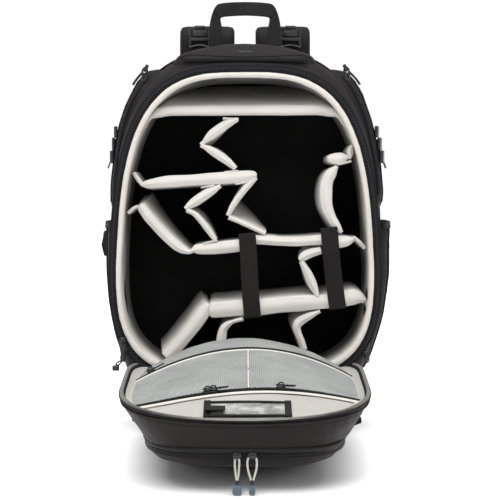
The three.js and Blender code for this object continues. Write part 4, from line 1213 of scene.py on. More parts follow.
def lid_gusset_piece():
    """The pale cloth that turns down from the lid's rim and out over the edge of its lining."""
    count = 360
    rim = lid_ring(1, count=count)
    station = RIM_Y - rim[:, 1]
    along = unit(np.roll(rim, -1, axis=0) - np.roll(rim, 1, axis=0))
    side_inset = mix(12, 15, smooth((station - 250) / 130))
    end_inset = np.where(station > 220, 17, 12)
    inset = mix(side_inset, end_inset, np.abs(along[:, 0]) ** 2)
    # Height as a share of the wall's, share of the inset, and how much the height follows the lining.
    profile = [(0.975, 0, 0), (0.95, 0.02, 0), (0.91, 0.12, 0), (0.87, 0.36, 0), (0.86, 0.7, 0.7),
               (0.86, 1, 1), (0.82, 1, 0), (0.82, 0.5, 0), (0.84, 0.04, 0), (0.93, 0, 0)]
    inward = spread(rim, -1.0) - rim
    inward[:, 2] = 0
    rows = []
    for high, share, follow in profile:
        ring = lid_ring(high, LID["wall"] + 2.4, 0, count) + inward * (share * (inset - 4.3))[:, None]
        s = np.clip(RIM_Y - ring[:, 1], LINING_FROM, LINING_TO)
        ring[:, 2] = mix(ring[:, 2], lining_top(ring[:, 0], s) + 0.9, follow)
        rows.append(ring)
    points = np.vstack(rows)
    points = crumple(points, facing(points, (0, 0, 1.0)), [((24, 24, 24), 0.4, 85), ((9, 9, 9), 0.12, 86)])
    faces = grid_faces(len(rows), count, True, True)
    make("lid_gusset", points, faces, mat["lining_fabric"], "lining_fabric")


def sheet_area(grid):
    a, b = grid[1:, 1:] - grid[:-1, :-1], grid[1:, :-1] - grid[:-1, 1:]
    return float(np.linalg.norm(np.cross(a, b), axis=-1).sum() / 2)


def mesh_net_piece(index, name):
    half = MESH_ZIP_WIDTH / 2

    def start(a):
        return zip_station(MESH_ZIPS[index - 1], a) + half + 4 if index else np.full_like(a, MESH_START - 4)

    def end(a):
        return zip_station(MESH_ZIPS[index], a) - half + 0.5

    grid = lining_grid(start, end, 90, 60 + 40 * index, 1.9, 1.5)
    puff = 1.6 * noise(grid, (46, 40, 60), 91 + index) + 0.7 * noise(grid, (16, 20, 20), 93 + index)
    u, v = (np.sin(math.pi * np.linspace(0, 1, n)) for n in grid.shape[:2])
    grid[..., 2] += np.maximum(-1.0, (0.8 + puff) * (u[:, None] * v) ** 0.5)
    points, faces = slab(grid, 0.9)
    obj = make(f"mesh_pocket_{name}_net", points, faces, mat["mesh"], "mesh", (f"mesh_pocket_{name}",))
    area = sheet_area(grid) * MM * MM


def mesh_zip_pieces(index, name, sliders):
    a = np.linspace(0, 1, 160)
    station = zip_station(MESH_ZIPS[index], a)
    x = (2 * a - 1) * (lining_wide(station) - 1)
    line = on_lining(x, station, 2.2)
    line[:, 2] += 0.5 * noise(line, 40, 97 + index)
    width = MESH_ZIP_WIDTH - 1.4
    tape, teeth = zip_parts(line, MESH_ZIP_UP, width, pitch=1.6, tooth=(1.0, 3.2, 1.3), thickness=1.8)
    make_zip(f"mesh_zip_{name}", tape, teeth, (f"mesh_zip_{name}",))
    rim_line = on_lining(x, station + MESH_ZIP_WIDTH / 2 + 2.4, 1.6)
    binding = sweep(rim_line, band_section(6.0, 1.4, 5), (0, -0.25, 1))
    make(f"mesh_zip_{name}_binding", *binding, mat["piping"], "lining_fabric")
    parts = []
    for at in sliders:
        k = int(at * 159)
        along = line[k + 1] - line[k - 1]
        parts.append(slider_parts(line[k] + [0, 0, 1.2], along, MESH_ZIP_UP, 1.15))
        spot = line[k] + unit(along) * 11 + [0, -1.5, 5.0]
        parts.append(place(block((15, 5, 1.6), 0.6), spot, along + [0, -3, 0.4], (0, -0.2, 1)))
    make(f"mesh_zip_{name}_sliders", *join_parts(parts), mat["buckle_plastic"], "zip_tape")


def mesh_pocket_pieces():
    for index, name in enumerate(("inner", "outer")):
        mesh_net_piece(index, name)
    for index, (name, sliders) in enumerate((("inner", (0.085,)), ("outer", (0.34, 0.37, 0.66)))):
        mesh_zip_pieces(index, name, sliders)
    # The seam that parts the outer pocket.
    seam = on_lining(np.full(60, 4.0), np.linspace(118, 322, 60), 3.0)
    seam[:, 2] += 0.9
    make("mesh_seam", *sweep(seam, band_section(1.7, 0.9, 4), (0, 0, 1)), mat["piping"], "lining_fabric")


def id_window_pieces():
    steps = 24
    left, right = ID_MIDDLE - ID_HALF, ID_MIDDLE + ID_HALF
    station = (ID_START + ID_END) / 2
    outer = [(left, ID_START), (right, ID_START), (right, ID_END), (left, ID_END)]
    bars = []
    for (x0, s0), (x1, s1) in zip(outer, outer[1:] + outer[:1]):
        t = np.linspace(0, 1, steps)
        inx = np.sign(ID_MIDDLE - (x0 + x1) / 2) * (ID_BORDER / 2 if x0 == x1 else 0)
        ins = np.sign(station - (s0 + s1) / 2) * (ID_BORDER / 2 if s0 == s1 else 0)
        line = on_lining(mix(x0, x1, t) + inx, mix(s0, s1, t) + ins, 1.5)
        bars.append(sweep(line, band_section(ID_BORDER, 1.7, 5), (0, 0, 1)))
    tab = on_lining(mix(left + 2, left + 25, np.linspace(0, 1, 10)), np.full(10, station), 3.0)
    bars.append(sweep(tab, band_section(ID_END - ID_START - 4, 1.6, 8), (0, 0, 1)))
    make("id_window_binding", *join_parts(bars), mat["window_frame"], "window_frame", ("id_window_frame",))
    x, s = np.meshgrid(np.linspace(left + 5, right - 5, 30), np.linspace(ID_START + 5, ID_END - 5, 14))
    top = on_lining(x, s, 1.3)
    top[..., 2] += 0.35 * noise(top, (12, 12, 12), 101)
    points, faces = slab(top, 0.5)
    make("id_window_film", points, faces, mat["clear_window"], "clear_window", ("id_window",))


def front_pocket_pieces():
    count = 280
    heights = np.concatenate([[0.3, 1.2, 2.6], np.linspace(4.5, 50.4, 34)])
    rings = [pocket_ring(z, 0, count) for z in heights]
    rings += [pocket_ring(50.6, 2.5, count), pocket_ring(44, 3, count)]
    grid = np.stack(rings)
    even_rows(grid, 1, 36, 4)
    points, faces, normals, rows = skin(grid)
    held = smooth(rows / 6.0) * (rows < 36)
    folds = [((60, 60, 22), 1.6, 111), ((26, 30, 14), 0.9, 112), ((10, 12, 9), 0.3, 113)]
    points = crumple(points, normals, folds, held)
    points[:, 2] = np.maximum(points[:, 2], 0.2)
    seam = closed_line(pocket_ring(39, 0.2, count))
    points = stitch_in(points, normals, [seam], 1.4, 2, 0.8, 14, 13, 115)
    ends = caps(len(rings), count)
    obj = make("front_pocket_cover", points, faces, mat["pocket_fabric"], "shell_fabric",
               ("front_pocket",), ends)

    line = spread(pocket_ring(np.mean(POCKET_ZIP), 0, 600), 2 * GAP + 0.5)
    line = open_part(line, line[:, 1] < RIM_Y - 0.72 * LID["length"])
    out = unit(np.cross(unit(np.gradient(line, axis=0)), facing(line, (0, 0, 1.0))))
    if out[len(out) // 2, 1] > 0:
        out = -out
    tape, teeth = zip_parts(line, out, POCKET_ZIP[1] - POCKET_ZIP[0] + 1, pitch=2.3, tooth=(1.3, 3, 1.1))
    make_zip("front_pocket_zip", tape, teeth, ("front_pocket_zip",))


# The pull cord's radius and heights, and each pull's name, place, half width and grip width.
PULL_CORD = 1.25
PULL_LOW, PULL_HIGH = 1.5 + 13, 49
PULLS = [("left", -9, 2.4, 10.5), ("right", 8, 5.2, 7)]


def front_pull_pieces():
    reach = np.interp(49, POCKET["z"], POCKET["to"]) + ZIP_HEIGHT + 2 * GAP + 1.3
    y = RIM_Y - reach
    sliders = []
    for name, x, wide, tab_width in PULLS:
        shape = [(0, PULL_HIGH - 1), (0.55, PULL_HIGH - 3.5), (1, 40), (0.96, 32), (0.6, 24), (0.3, 19),
                 (0.16, PULL_LOW - 2)]
        right = [(x + wide * a, y, z) for a, z in shape]
        left = [(x - wide * a, y, z) for a, z in shape[::-1]]
        path = curve(right + left, 70)[2:-2]
        cord = make(f"front_pull_cord_{name}", *tube(path, PULL_CORD, 8, up=(0, 1, 0)), mat["pull_cord"],
                    "pull_cord", (f"front_pull_loop_{name}",))
        half = tab_width / 2
        outline = [(-half * 0.55, 6.8), (half * 0.55, 6.8), (half, 3.5), (half, -5), (half * 0.8, -6.6),
                   (-half * 0.8, -6.6), (-half, -5), (-half, 3.5)]
        tab = moved(prism(outline, 3.2, 0.9), [x, y, 1.5 + 6.6])
        collar = prism([(-2.4, 2.6), (2.4, 2.6), (2.9, -2.6), (-2.9, -2.6)], 4.2, 0.8)
        collar = moved(collar, [x, y, PULL_LOW + 0.8])
        make(f"front_pull_grip_{name}", *tab, mat["pull_tab"], "pull_tab", (f"front_pull_tab_{name}",))
        make(f"front_pull_collar_{name}", *collar, mat["dark_teeth"], "pull_tab")
        sliders.append(slider_parts((x, y + 2.4, 46), (1 if x < 0 else -1, 0, 0), FORWARD, 0.95))
    make("front_pocket_sliders", *join_parts(sliders), mat["buckle_plastic"], "zip_tape")


# Dividers and bands in the compartment.
DIVIDER_FRONT = LINING_FRONT + 8.6
PAD_LEAST, FLAP_LEAST, FLAP_DEPTH = 3.0, 0.7, 120
STRAIGHT = ((0, 0), (0, 0))
# Padded arms and thin flaps: rows of x, z and half width, the back's shift in x and z at both ends, and
# the depth.
ARMS = {
    "upper_fold": [
        ([(-62.2, 408.2, 1.1), (-54.2, 415.9, 4.5), (-45.6, 423.5, 6.8), (-33.8, 431.7, 7.0),
          (-21.1, 439.4, 5.6), (-9.8, 443.9, 2.8)],
         ((10, 2), (-12, 2)), 130),
        ([(-62.2, 407.9, 1.1), (-50.7, 402.0, 4.5), (-38.4, 394.4, 6.2), (-25.3, 385.3, 5.8),
          (-13.1, 375.0, 3.7)],
         ((10, 2), (-2, 0)), 130),
        ([(-31.0, 445.2, 1.1), (-9.1, 444.6, 1.4)],
         STRAIGHT, 50),
        ([(-29.5, 370.1, 1.1), (-9.8, 371.6, 1.4)],
         STRAIGHT, 50),
    ],
    "shelf": [
        ([(-145.6, 353.6, 1.4), (-139.3, 352.9, 5.5), (-112.6, 356.4, 7.9), (-71.8, 358.7, 7.9),
          (-29.5, 361.5, 8.7), (0.0, 363.7, 8.4), (12.7, 365.0, 6.5), (16.6, 365.0, 3.7)],
         ((0, -4), (0, -3)), 140),
        ([(-156.7, 369.1, 2.3), (-151.3, 360.6, 2.7), (-144.2, 351.1, 2.5)],
         STRAIGHT, 110),
    ],
    "middle": [
        ([(-147.7, 323.3, 5.6), (-144.9, 317.7, 6.6), (-135.1, 304.3, 6.9), (-119.6, 287.5, 7.0),
          (-102.7, 271.3, 7.0), (-90.0, 261.6, 6.3), (-80.2, 257.6, 3.7), (-74.6, 258.2, 2.0)],
         ((6, 20), (0, 2)), 140),
        ([(-151.3, 322.1, 1.7), (-157.6, 318.4, 2.1), (-164.9, 311.9, 2.1)],
         STRAIGHT, 110),
        ([(-75.3, 258.5, 2.0), (-68.9, 260.9, 6.5), (-54.9, 261.7, 8.2), (-32.4, 263.5, 8.7),
          (-9.8, 266.1, 8.6), (4.2, 268.9, 7.6)],
         STRAIGHT, 140),
        ([(2.8, 275.1, 5.9), (32.4, 273.7, 6.9), (52.1, 272.3, 6.5), (71.8, 272.0, 6.8),
          (91.5, 273.1, 6.8), (108.3, 274.0, 7.3), (129.4, 271.7, 8.7), (143.5, 272.8, 7.3),
          (153.8, 275.6, 3.1)],
         STRAIGHT, 140),
        ([(153.8, 278.3, 1.7), (161.8, 270.6, 2.7), (169.1, 262.3, 2.4)],
         STRAIGHT, 110),
    ],
    "lower": [
        ([(-50.9, 175.2, 7.9), (-46.4, 175.2, 10.7), (-26.7, 176.3, 11.1), (-2.8, 178.3, 11.4),
          (22.5, 179.1, 11.4), (50.7, 182.2, 11.1), (83.0, 185.0, 11.3), (108.3, 186.7, 10.4),
          (142.1, 191.8, 11.4), (154.8, 192.9, 11.0), (164.6, 190.7, 7.0), (170.8, 186.7, 2.1)],
         ((0, 6), (0, 6)), 140),
        ([(163.9, 193.8, 1.4), (171.7, 184.8, 1.8), (173.9, 173.5, 1.7)],
         STRAIGHT, 90),
    ],
    "right": [
        ([(129.7, 378.1, 2.0), (122.7, 369.1, 7.6), (116.2, 357.8, 8.6), (114.2, 342.3, 8.9),
          (115.2, 322.6, 8.3), (121.8, 306.3, 7.0), (130.9, 291.4, 5.3), (136.5, 284.6, 2.1)],
         ((0, 0), (-4, 0)), 140),
    ],
    "slope": [
        ([(-50.9, 182.6, 5.9), (-57.7, 172.1, 8.7), (-68.9, 155.9, 9.1), (-80.2, 141.1, 9.1),
          (-91.5, 127.8, 8.9), (-111.2, 107.4, 8.4)],
         ((-11, 9), (-10, 8)), 140),
    ],
    "knee": [
        ([(115.8, 388.9, 3.4), (120.3, 388.8, 6.6), (129.4, 388.8, 8.3), (137.9, 389.8, 7.3),
          (145.5, 391.0, 2.5)],
         STRAIGHT, 130),
        ([(150.8, 408.2, 1.4), (148.6, 402.1, 4.1), (148.0, 395.8, 4.4), (147.7, 388.2, 1.4)],
         STRAIGHT, 110),
        ([(129.9, 380.6, 1.3), (139.3, 382.6, 1.7), (149.4, 385.3, 1.8)],
         STRAIGHT, 110),
    ],
    "left_fold": [
        ([(-84.0, 317.9, 1.4), (-79.6, 321.8, 4.2), (-69.2, 328.8, 6.5), (-54.9, 338.4, 6.5),
          (-43.6, 345.2, 5.1), (-34.3, 350.4, 1.7)],
         ((10, 2), (-12, 3)), 130),
        ([(-82.3, 316.3, 1.4), (-70.4, 310.3, 3.4), (-57.3, 295.2, 4.2), (-48.4, 283.2, 3.9),
          (-41.9, 273.7, 2.5)],
         ((10, 2), (0, 0)), 130),
        ([(-61.9, 348.0, 1.1), (-43.6, 351.3, 1.3)],
         STRAIGHT, 50),
        ([(-59.1, 269.2, 1.1), (-39.4, 273.5, 1.3)],
         STRAIGHT, 50),
    ],
    "centre_fold": [
        ([(-24.2, 308.3, 1.3), (-20.3, 317.0, 3.7), (-12.0, 330.4, 4.8), (-1.4, 344.2, 5.1),
          (8.4, 355.4, 4.9), (16.2, 361.8, 2.5)],
         ((14, 21), (-6, 2)), 130),
        ([(-23.1, 306.0, 1.3), (-12.0, 301.3, 3.0), (0.0, 296.3, 3.5), (12.7, 290.3, 3.5),
          (28.8, 283.2, 2.7)],
         ((15, 22), (1, 3)), 130),
        ([(-13.5, 352.7, 1.1), (5.9, 356.5, 1.1)],
         STRAIGHT, 50),
    ],
    "lower_fold": [
        ([(76.8, 246.0, 2.1), (82.3, 250.6, 5.9), (91.5, 255.1, 6.3), (107.6, 259.3, 5.3)],
         ((4, 0), (0, 6)), 130),
        ([(79.2, 244.1, 3.4), (87.9, 227.7, 5.8), (95.4, 211.5, 6.2), (102.6, 194.6, 2.8)],
         ((4, 0), (-6, 2)), 130),
        ([(78.8, 192.9, 3.9), (100.6, 189.8, 1.7)],
         STRAIGHT, 50),
    ],
    "hook": [
        ([(-34.8, 118.6, 6.9), (-33.1, 135.5, 6.9), (-31.1, 146.8, 5.9), (-25.6, 153.8, 5.1),
          (-16.3, 159.1, 2.8), (-2.8, 162.4, 1.3)],
         ((-2, -4), (0, 0)), 130),
    ],
    "bend": [
        ([(105.9, 173.5, 1.7), (94.3, 168.2, 4.5), (84.4, 162.8, 5.9), (76.4, 157.2, 6.6),
          (73.4, 151.0, 5.8), (75.0, 142.1, 5.2), (79.9, 130.6, 4.4), (83.9, 118.6, 4.2)],
         ((-2, 5), (-5, 2)), 130),
    ],
    "top": [
        ([(-138.0, 452.6, 1.7), (-142.1, 442.2, 1.8), (-147.5, 429.1, 1.7)],
         STRAIGHT, 80),
        ([(131.7, 453.5, 2.0), (140.7, 443.6, 2.3), (147.2, 432.5, 2.1)],
         STRAIGHT, 80),
    ],
}


def arm(rows, shift, depth, seed):
    """A padded panel that stands behind a line, with a soft domed front edge."""
    count = 46
    path = curve(rows, count)
    centre, half = path[:, :2], np.maximum(path[:, 2], PAD_LEAST if depth > FLAP_DEPTH else FLAP_LEAST)
    along = unit(np.gradient(centre, axis=0))
    across = np.stack([-along[:, 1], along[:, 0]], axis=1)
    turn = np.linspace(0, math.pi / 2, 5)
    rings = []
    for k, (spot, wide) in enumerate(zip(centre, half)):
        corner = min(0.5 * wide + 0.4, 3.2)
        dome = min(0.3 * wide, 2.2)
        flank = [(-wide, depth * q) for q in (1, 0.75, 0.5, 0.3, 0.16, 0.08)]
        bend = [(-wide + corner * (1 - math.cos(a)), corner * (1 - math.sin(a))) for a in turn]
        flat = [(a * (wide - corner), -dome * (1 - a * a)) for a in (-0.6, -0.2)]
        half_section = flank + bend + flat
        section = half_section + [(-a, b) for a, b in half_section[::-1]]
        lean = mix(np.array(shift[0]), np.array(shift[1]), k / (count - 1))
        ring = []
        for side, deep in section:
            x, z = spot + across[k] * side + lean * max(deep, 0) / depth
            ring.append((x, DIVIDER_FRONT + deep, z))
        rings.append(ring)
    points = np.vstack(rings)
    sides = len(rings[0])
    faces = grid_faces(count, sides, False, True)
    folds = [((26, 40, 26), 0.6, seed), ((11, 22, 11), 0.25, seed + 1)]
    points = crumple(points, normals_of(points, faces), folds)
    first, last = caps(count, sides)
    return points, faces.tolist() + [first[::-1], last]


def divider_pieces():
    cloth = mat["divider_fabric"]
    folds = [((60, 40, 40), 0.8, 121), ((18, 18, 18), 0.3, 141)]
    soft_piece("divider_top", "divider_top_pad", cloth, "divider_fabric", voxel=3.3, pressure=3, cap=1.5,
               folds=folds)
    for index, (name, arms) in enumerate(ARMS.items()):
        parts = join_parts([arm(*row, 300 + 10 * index + k) for k, row in enumerate(arms)])
        if name == "top":
            make("divider_flaps", *parts, cloth, "divider_fabric")
            continue
        obj = make(f"divider_{name}_pad", *parts, cloth, "divider_fabric", (f"divider_{name}",))


# Elastic straps as name, top and bottom as shares of the opening, and seed.
ELASTICS = [("left", (0.012, 0.478), (0.06, 0.2), 1), ("right", (0.648, 0.497), (0.72, 0.23), 2)]


def opening_point(x, z):
    return x * OPENING["half"], mix(OPENING["bottom"], OPENING["top"], z)


def elastic_pieces():
    y = LINING_FRONT + 6 - GAP - 1.2
    for name, top, bottom, seed in ELASTICS:
        (x0, z0), (x1, z1) = opening_point(*top), opening_point(*bottom)
        t = np.linspace(0, 1, 50)
        line = np.stack([mix(x0, x1, t), y + 0.8 * np.sin(math.pi * t), mix(z0, z1, t)], axis=1)
        line[:, 0] += 0.6 * np.sin(t * 5 + seed)
        band = sweep(line, band_section(24, 1.8, 14), FORWARD)
        make(f"elastic_band_{name}", *band, mat["elastic"], "elastic", (f"elastic_strap_{name}",))


# The hood, handle, straps and buckles.
HOOD = {
    "y": [-74, -72.5, -70, -62, -40, 0, 40, 60, 66, 69],
    "half": [82, 88, 91, 93, 93, 92, 91, 88, 84, 74],
    "top": [527, 532, 534.5, 544, 552, 556.5, 556.5, 553, 549, 540],
    "crown": [2, 2.5, 3, 6, 10, 13, 14, 14, 14, 14],
}


def hood_pieces():
    count = 160
    rings = []
    for y in np.concatenate([HOOD["y"][:2], np.linspace(-70, 66, 44), HOOD["y"][-1:]]):
        half, top, crown = (np.interp(y, HOOD["y"], HOOD[key]) for key in ("half", "top", "crown"))
        angle = np.linspace(0, 2 * math.pi, count, endpoint=False)
        x = half * signed_power(np.cos(angle), 0.42)
        z = top - 60 + 60 * signed_power(np.sin(angle), 0.42) - crown * (x / half) ** 2
        x = x + np.sign(x) * 13 * smooth((549 - z) / 14) * smooth((z - 505) / 20) * smooth((y + 70) / 14)
        shell = shell_ring(np.clip((y - RIM_Y) / DEPTH, 0.004, 1), 0, 400)
        shell = shell[shell[:, 2] > WAIST]
        order = np.argsort(shell[:, 0])
        z = np.maximum(z, np.interp(x, shell[order, 0], shell[order, 2]) - 2.5)
        rings.append(np.stack([x, np.full(count, y), z], axis=1))
    grid = np.stack(rings)
    even_rows(grid, 1, len(grid) - 1, 3, 0.4)
    points, faces, normals, _ = skin(grid)
    points = crumple(points, normals, [((60, 26, 30), 1.0, 161), ((24, 16, 14), 0.4, 162)])
    line = np.stack([np.linspace(-80, 80, 120), np.full(120, -58.0), np.full(120, 546.0)], axis=1)
    points = stitch_in(points, normals, [line], 1.3, 2.2, 0.8, 14, 12, 163)
    ends = caps(len(rings), count)
    hood = make("hood_pad", points, faces, mat["shell_fabric"], "shell_fabric", ("top_hood",), ends)
    hood_trim()


def hood_trim():
    """The rolled lip in front of the hood, its two seams and the bare patch over it."""
    half = 91
    x = np.linspace(-half, half, 110)
    lip = np.stack([x, -76.5 + 7.5 * (np.abs(x) / half) ** 4, 528.5 + 0.8 * (x / half) ** 2], axis=1)
    tall = np.interp(np.abs(x), [0, 40, 72, 84, half], [2.7, 3.6, 4.9, 4.0, 0.9])
    roll = sweep(lip, round_section(1.0, 16), (0, -1, 0.3), scale=np.stack([tall, tall * 0.75], axis=1))
    # The lip is a real roll; its slightly lighter handle webbing is a painted highlight along it.
    make("hood_lip", *roll, mat["handle_webbing"], "shell_fabric")
    seams = []
    for rise in (-1, 1):
        edge = lip + np.stack([np.zeros_like(x), np.full_like(x, -1.4), rise * (tall - 0.3)], axis=1)
        seams.append(tube(edge, 0.9, 8))
    make("hood_lip_piping", *join_parts(seams), mat["strap_fabric"], "shell_fabric")
    patch = moved(prism(rounded_outline(11.5, 2.4, 0.8), 0.8, 0.25, 1), [-1, -68.5, 537.6])
    make("hood_patch", *patch, mat["buckle_plastic"], "webbing")


# Outer and inner edge of the handle's webbing as (x, z), up one leg to the middle of the arch.
HANDLE_OUTER = [(53, 536), (53, 560), (52.4, 580), (50.6, 594), (46.5, 607), (41, 615.5), (33, 618),
                (17, 619.4), (0, 619.8)]
HANDLE_INNER = [(30.5, 536), (31.5, 560), (33.5, 580), (35.2, 590), (35.8, 595.6), (33, 597.6), (26, 598.6),
                (12, 599.6), (0, 600)]
HANDLE_Y = 30


def handle_piece():
    outer, inner = (curve(points, 70) for points in (HANDLE_OUTER, HANDLE_INNER))
    inner = np.vstack([inner, inner[-2::-1] * [-1, 1]])
    outer = np.vstack([outer, outer[-2::-1] * [-1, 1]])
    a = np.linspace(0, 1, 14)
    x = mix(inner[:, None, 0], outer[:, None, 0], a)
    z = mix(inner[:, None, 1], outer[:, None, 1], a)
    run = np.linspace(-1, 1, len(inner))[:, None]
    # The arch is folded over in front of the legs along a slanting line at each corner.
    slant = np.abs(run) - (0.42 + 0.05 * (a[None] - 0.5))
    fold = 1.5 * smooth(-slant / 0.012)
    crease = 0.9 * np.exp(-((slant / 0.02) ** 2))
    edge = 0.5 * np.abs(2 * a - 1)[None] ** 8
    y = HANDLE_Y - 2.2 - fold + crease + edge
    points, faces = slab(np.stack([x, y, z], axis=-1), 3.0, BACKWARD)
    points = crumple(points, facing(points, FORWARD), [((16, 9, 16), 0.5, 171)])
    make("handle_band", points, faces, mat["handle_webbing"], "handle_webbing", ("handle",))


# The shoulder strap's line as a share of its distance from the middle, its place behind the back and its
# height, and the places of the lifters and their buckles.
STRAP_PATH = [(1, 0, 516), (1, 0, 545), (1, 2, 572), (1, 15, 586), (1, 28, 572), (1.02, 30, 540),
              (1.1, 29, 430), (1.35, 28, 320), (1.7, 22, 220), (1.85, 10, 130), (1.85, 0, 84)]
STRAP_X, LIFTER_X, LIFTER_Y, LADDER_Y = 57, 68.0, 83.8, 80.2


def strap_pieces():
    for side, name in ((-1, "left"), (1, "right")):
        shoulder_strap(side, name)
        soft_piece(f"back_pad_{name}", f"back_pad_{name}_cushion", mat["back_mesh"], "back_mesh",
                   voxel=5, cap=4, folds=[((50, 20, 50), 0.8, 183)],
                   seams=[np.array([(side * x, 99, z) for x in (14.0, 84.0)]) for z in (150, 240, 330, 420)],
                   seam_look={"depth": 3.0, "width": 5, "pucker": 0.4})
        x = side * LIFTER_X
        line = curve([(x, LIFTER_Y, z) for z in (530, 555, 578)], 24)
        lifter = sweep(line, band_section(24, 2.0, 10), FORWARD)
        make(f"load_lifter_{name}_band", *lifter, mat["webbing"], "webbing", (f"load_lifter_{name}",))
        make(f"ladder_buckle_{name}_frame", *ladder_buckle(x), mat["buckle_plastic"], "buckle_plastic",
             (f"ladder_buckle_{name}",))


def shoulder_strap(side, name):
    count, webbed = 170, 150
    back = BACK_Y + GAP + 7
    path = curve([(side * STRAP_X * out, back + off, z) for out, off, z in STRAP_PATH], count)
    t = np.linspace(0, 1, count)
    width = mix(40, 12.5, smooth((t - 0.45) / 0.35))
    thick = mix(7, 1.5, smooth((t - 0.6) / 0.2))
    angle = np.linspace(0, 2 * math.pi, 28, endpoint=False)
    section = np.stack([signed_power(np.cos(angle), 0.28), signed_power(np.sin(angle), 0.6)], axis=1)
    sideways = np.cross([1.0, 0, 0], unit(np.gradient(path, axis=0)))
    points, faces = sweep(path, section, -sideways, scale=np.stack([width, thick], axis=1))
    points = crumple(points, facing(points, (0, 0.6, 0.8)), [((26, 26, 26), 0.6, 181)])
    pad = make(f"shoulder_strap_{name}_pad", points, faces, mat["strap_fabric"], "strap_fabric",
               (f"shoulder_strap_{name}",))
    cords = []
    for edge in (-1, 1):
        line = path + (edge * (width - 0.4))[:, None] * [1.0, 0, 0]
        cords.append(tube(line[4:webbed], 1.5, 8, up=(1, 0, 0.01)))
    line = path[:webbed] - sideways[:webbed] * (thick[:webbed] + 0.9)[:, None]
    cords.append(sweep(line, band_section(25, 1.6, 6), -sideways[:webbed]))
    make(f"shoulder_strap_{name}_webbing", *join_parts(cords), mat["webbing"], "webbing")


def ladder_buckle(x):
    """Two rails, two bars, a bow below, a knob above and the webbing that comes through."""
    y = LADDER_Y
    parts = []
    for cx, cz, size in ((-14.2, 573.5, (3.8, 4.4, 32)), (14.2, 573.5, (3.8, 4.4, 32)),
                         (0, 570, (28, 5.0, 5.6)), (0, 586, (30, 4.4, 7.2))):
        parts.append(moved(block(size, 1.1), [x + cx, y, cz]))
    t = np.linspace(-1, 1, 20)
    rise = 557.6 + 3.4 * np.cos(t * math.pi / 2)
    bow = np.stack([np.linspace(-15, 15, 20), np.full(20, -1.5), rise], axis=1)
    parts.append(tube(bow + [x, y, 0], 2.0, 10, up=(0, 1, 0.01)))
    parts.append(moved(block((16, 3.4, 5.4), 1.4), [x, y - 2.4, 588]))
    parts.append(moved(block((21, 2.4, 9), 0.9), [x, y - 2.0, 578.6]))
    return join_parts(parts)


# Side pouches, compression straps and pulls.
UPPER = {
    "z": [322, 336, 380, 430, 466, 484, 500, 514],
    "left": [1, 2, 4, 9, 12, 14, 18, 20],
    "right": [4, 9, 10, 12, 15, 19, 22, 23],
    "reach": [56, 64, 66, 64, 62, 60, 54, 44],
}
LOWER = {
    "z": [84, 104, 150, 200, 250, 286, 300],
    "left": [1.4, 3.6, 5, 5.8, 6.8, 6.8, 6.3],
    "right": [3, 8, 11, 13, 15.5, 16, 15],
    "reach": [46, 54, 60, 62, 62, 61, 60],
}
POUCH_ROOT = 16
BAND_HEIGHT = 408.0


def pouch_point(side, name, table, z, angle, wall=0.0):
    """A point of a pouch's outline at a height; the angle is 0 outwards and -90 degrees to the front."""
    z, angle = np.broadcast_arrays(np.asarray(z, float), np.radians(np.asarray(angle, float)))
    bulge = np.maximum(np.interp(z, table["z"], table[name]) - wall, 0.8)
    reach = np.interp(z, table["z"], table["reach"]) - wall
    out = np.maximum(signed_power(np.cos(angle), 0.6), -0.02)
    x = shell_side(z) - POUCH_ROOT + (POUCH_ROOT + bulge) * out
    return np.stack([side * x, 2 + reach * signed_power(np.sin(angle), 0.6), z], axis=-1)


def pouch_piece(side, name, label, table, is_open, seed):
    count = 90
    angle = np.linspace(0, 360, count, endpoint=False)
    low, high = table["z"][0], table["z"][-1]
    heights = [low + 0.2, low + 1.5, *np.linspace(low + 4, high - 1.5, 60), high]
    rings = [pouch_point(side, name, table, z, angle) for z in heights]
    outer = len(rings)
    if is_open:
        down = (0, 2, 8, 30)
        rings += [pouch_point(side, name, table, high - drop, angle, 2.5) for drop in down]
    else:
        last = rings[-1]
        middle = last.mean(axis=0)
        shares = (0.96, 0.88, 0.7, 0.4, 0.15)
        rings += [mix(middle, last, share) + [0, 0, 5 * (1 - share**2)] for share in shares]
    grid = np.stack(rings)
    even_rows(grid, 1, outer - 1, 4)
    points, faces, normals, rows = skin(grid)
    held = smooth((rows - 1) / 5) * smooth((64 - rows) / 4.0)
    folds = [((26, 34, 44), 1.5, seed), ((12, 16, 20), 0.7, seed + 1), (6, 0.15, seed + 2)]
    points = crumple(points, normals, folds, held)
    z = np.linspace(low + 6, high - 6, 60)
    seams = [pouch_point(side, name, table, z, turn) for turn in (-38, 40)]
    points = stitch_in(points, normals, seams, 1.4, 2.2, 0.9, 14, 12, seed + 3)
    if is_open:
        gather = 0.7 * np.sin(points[:, 1] * 2 * math.pi / 9 + 2 * noise(points, 20, seed + 4))
        near_top = smooth((points[:, 2] - (high - 26)) / 20)
        points = points + normals * (gather * near_top * (rows < outer))[:, None]
    piece = f"{label}_{name}"
    ends = caps(len(rings), count)
    obj = make(f"{piece}_bag", points, faces, mat["shell_fabric"], "shell_fabric", (piece,), ends)
    cords = []
    for line in seams:
        line, ups = onto(obj, line, 0.9)
        cords.append(sweep(line, round_section(1.5, 8), ups))
    make(f"{piece}_piping", *join_parts(cords), mat["strap_fabric"], "shell_fabric")
    return obj


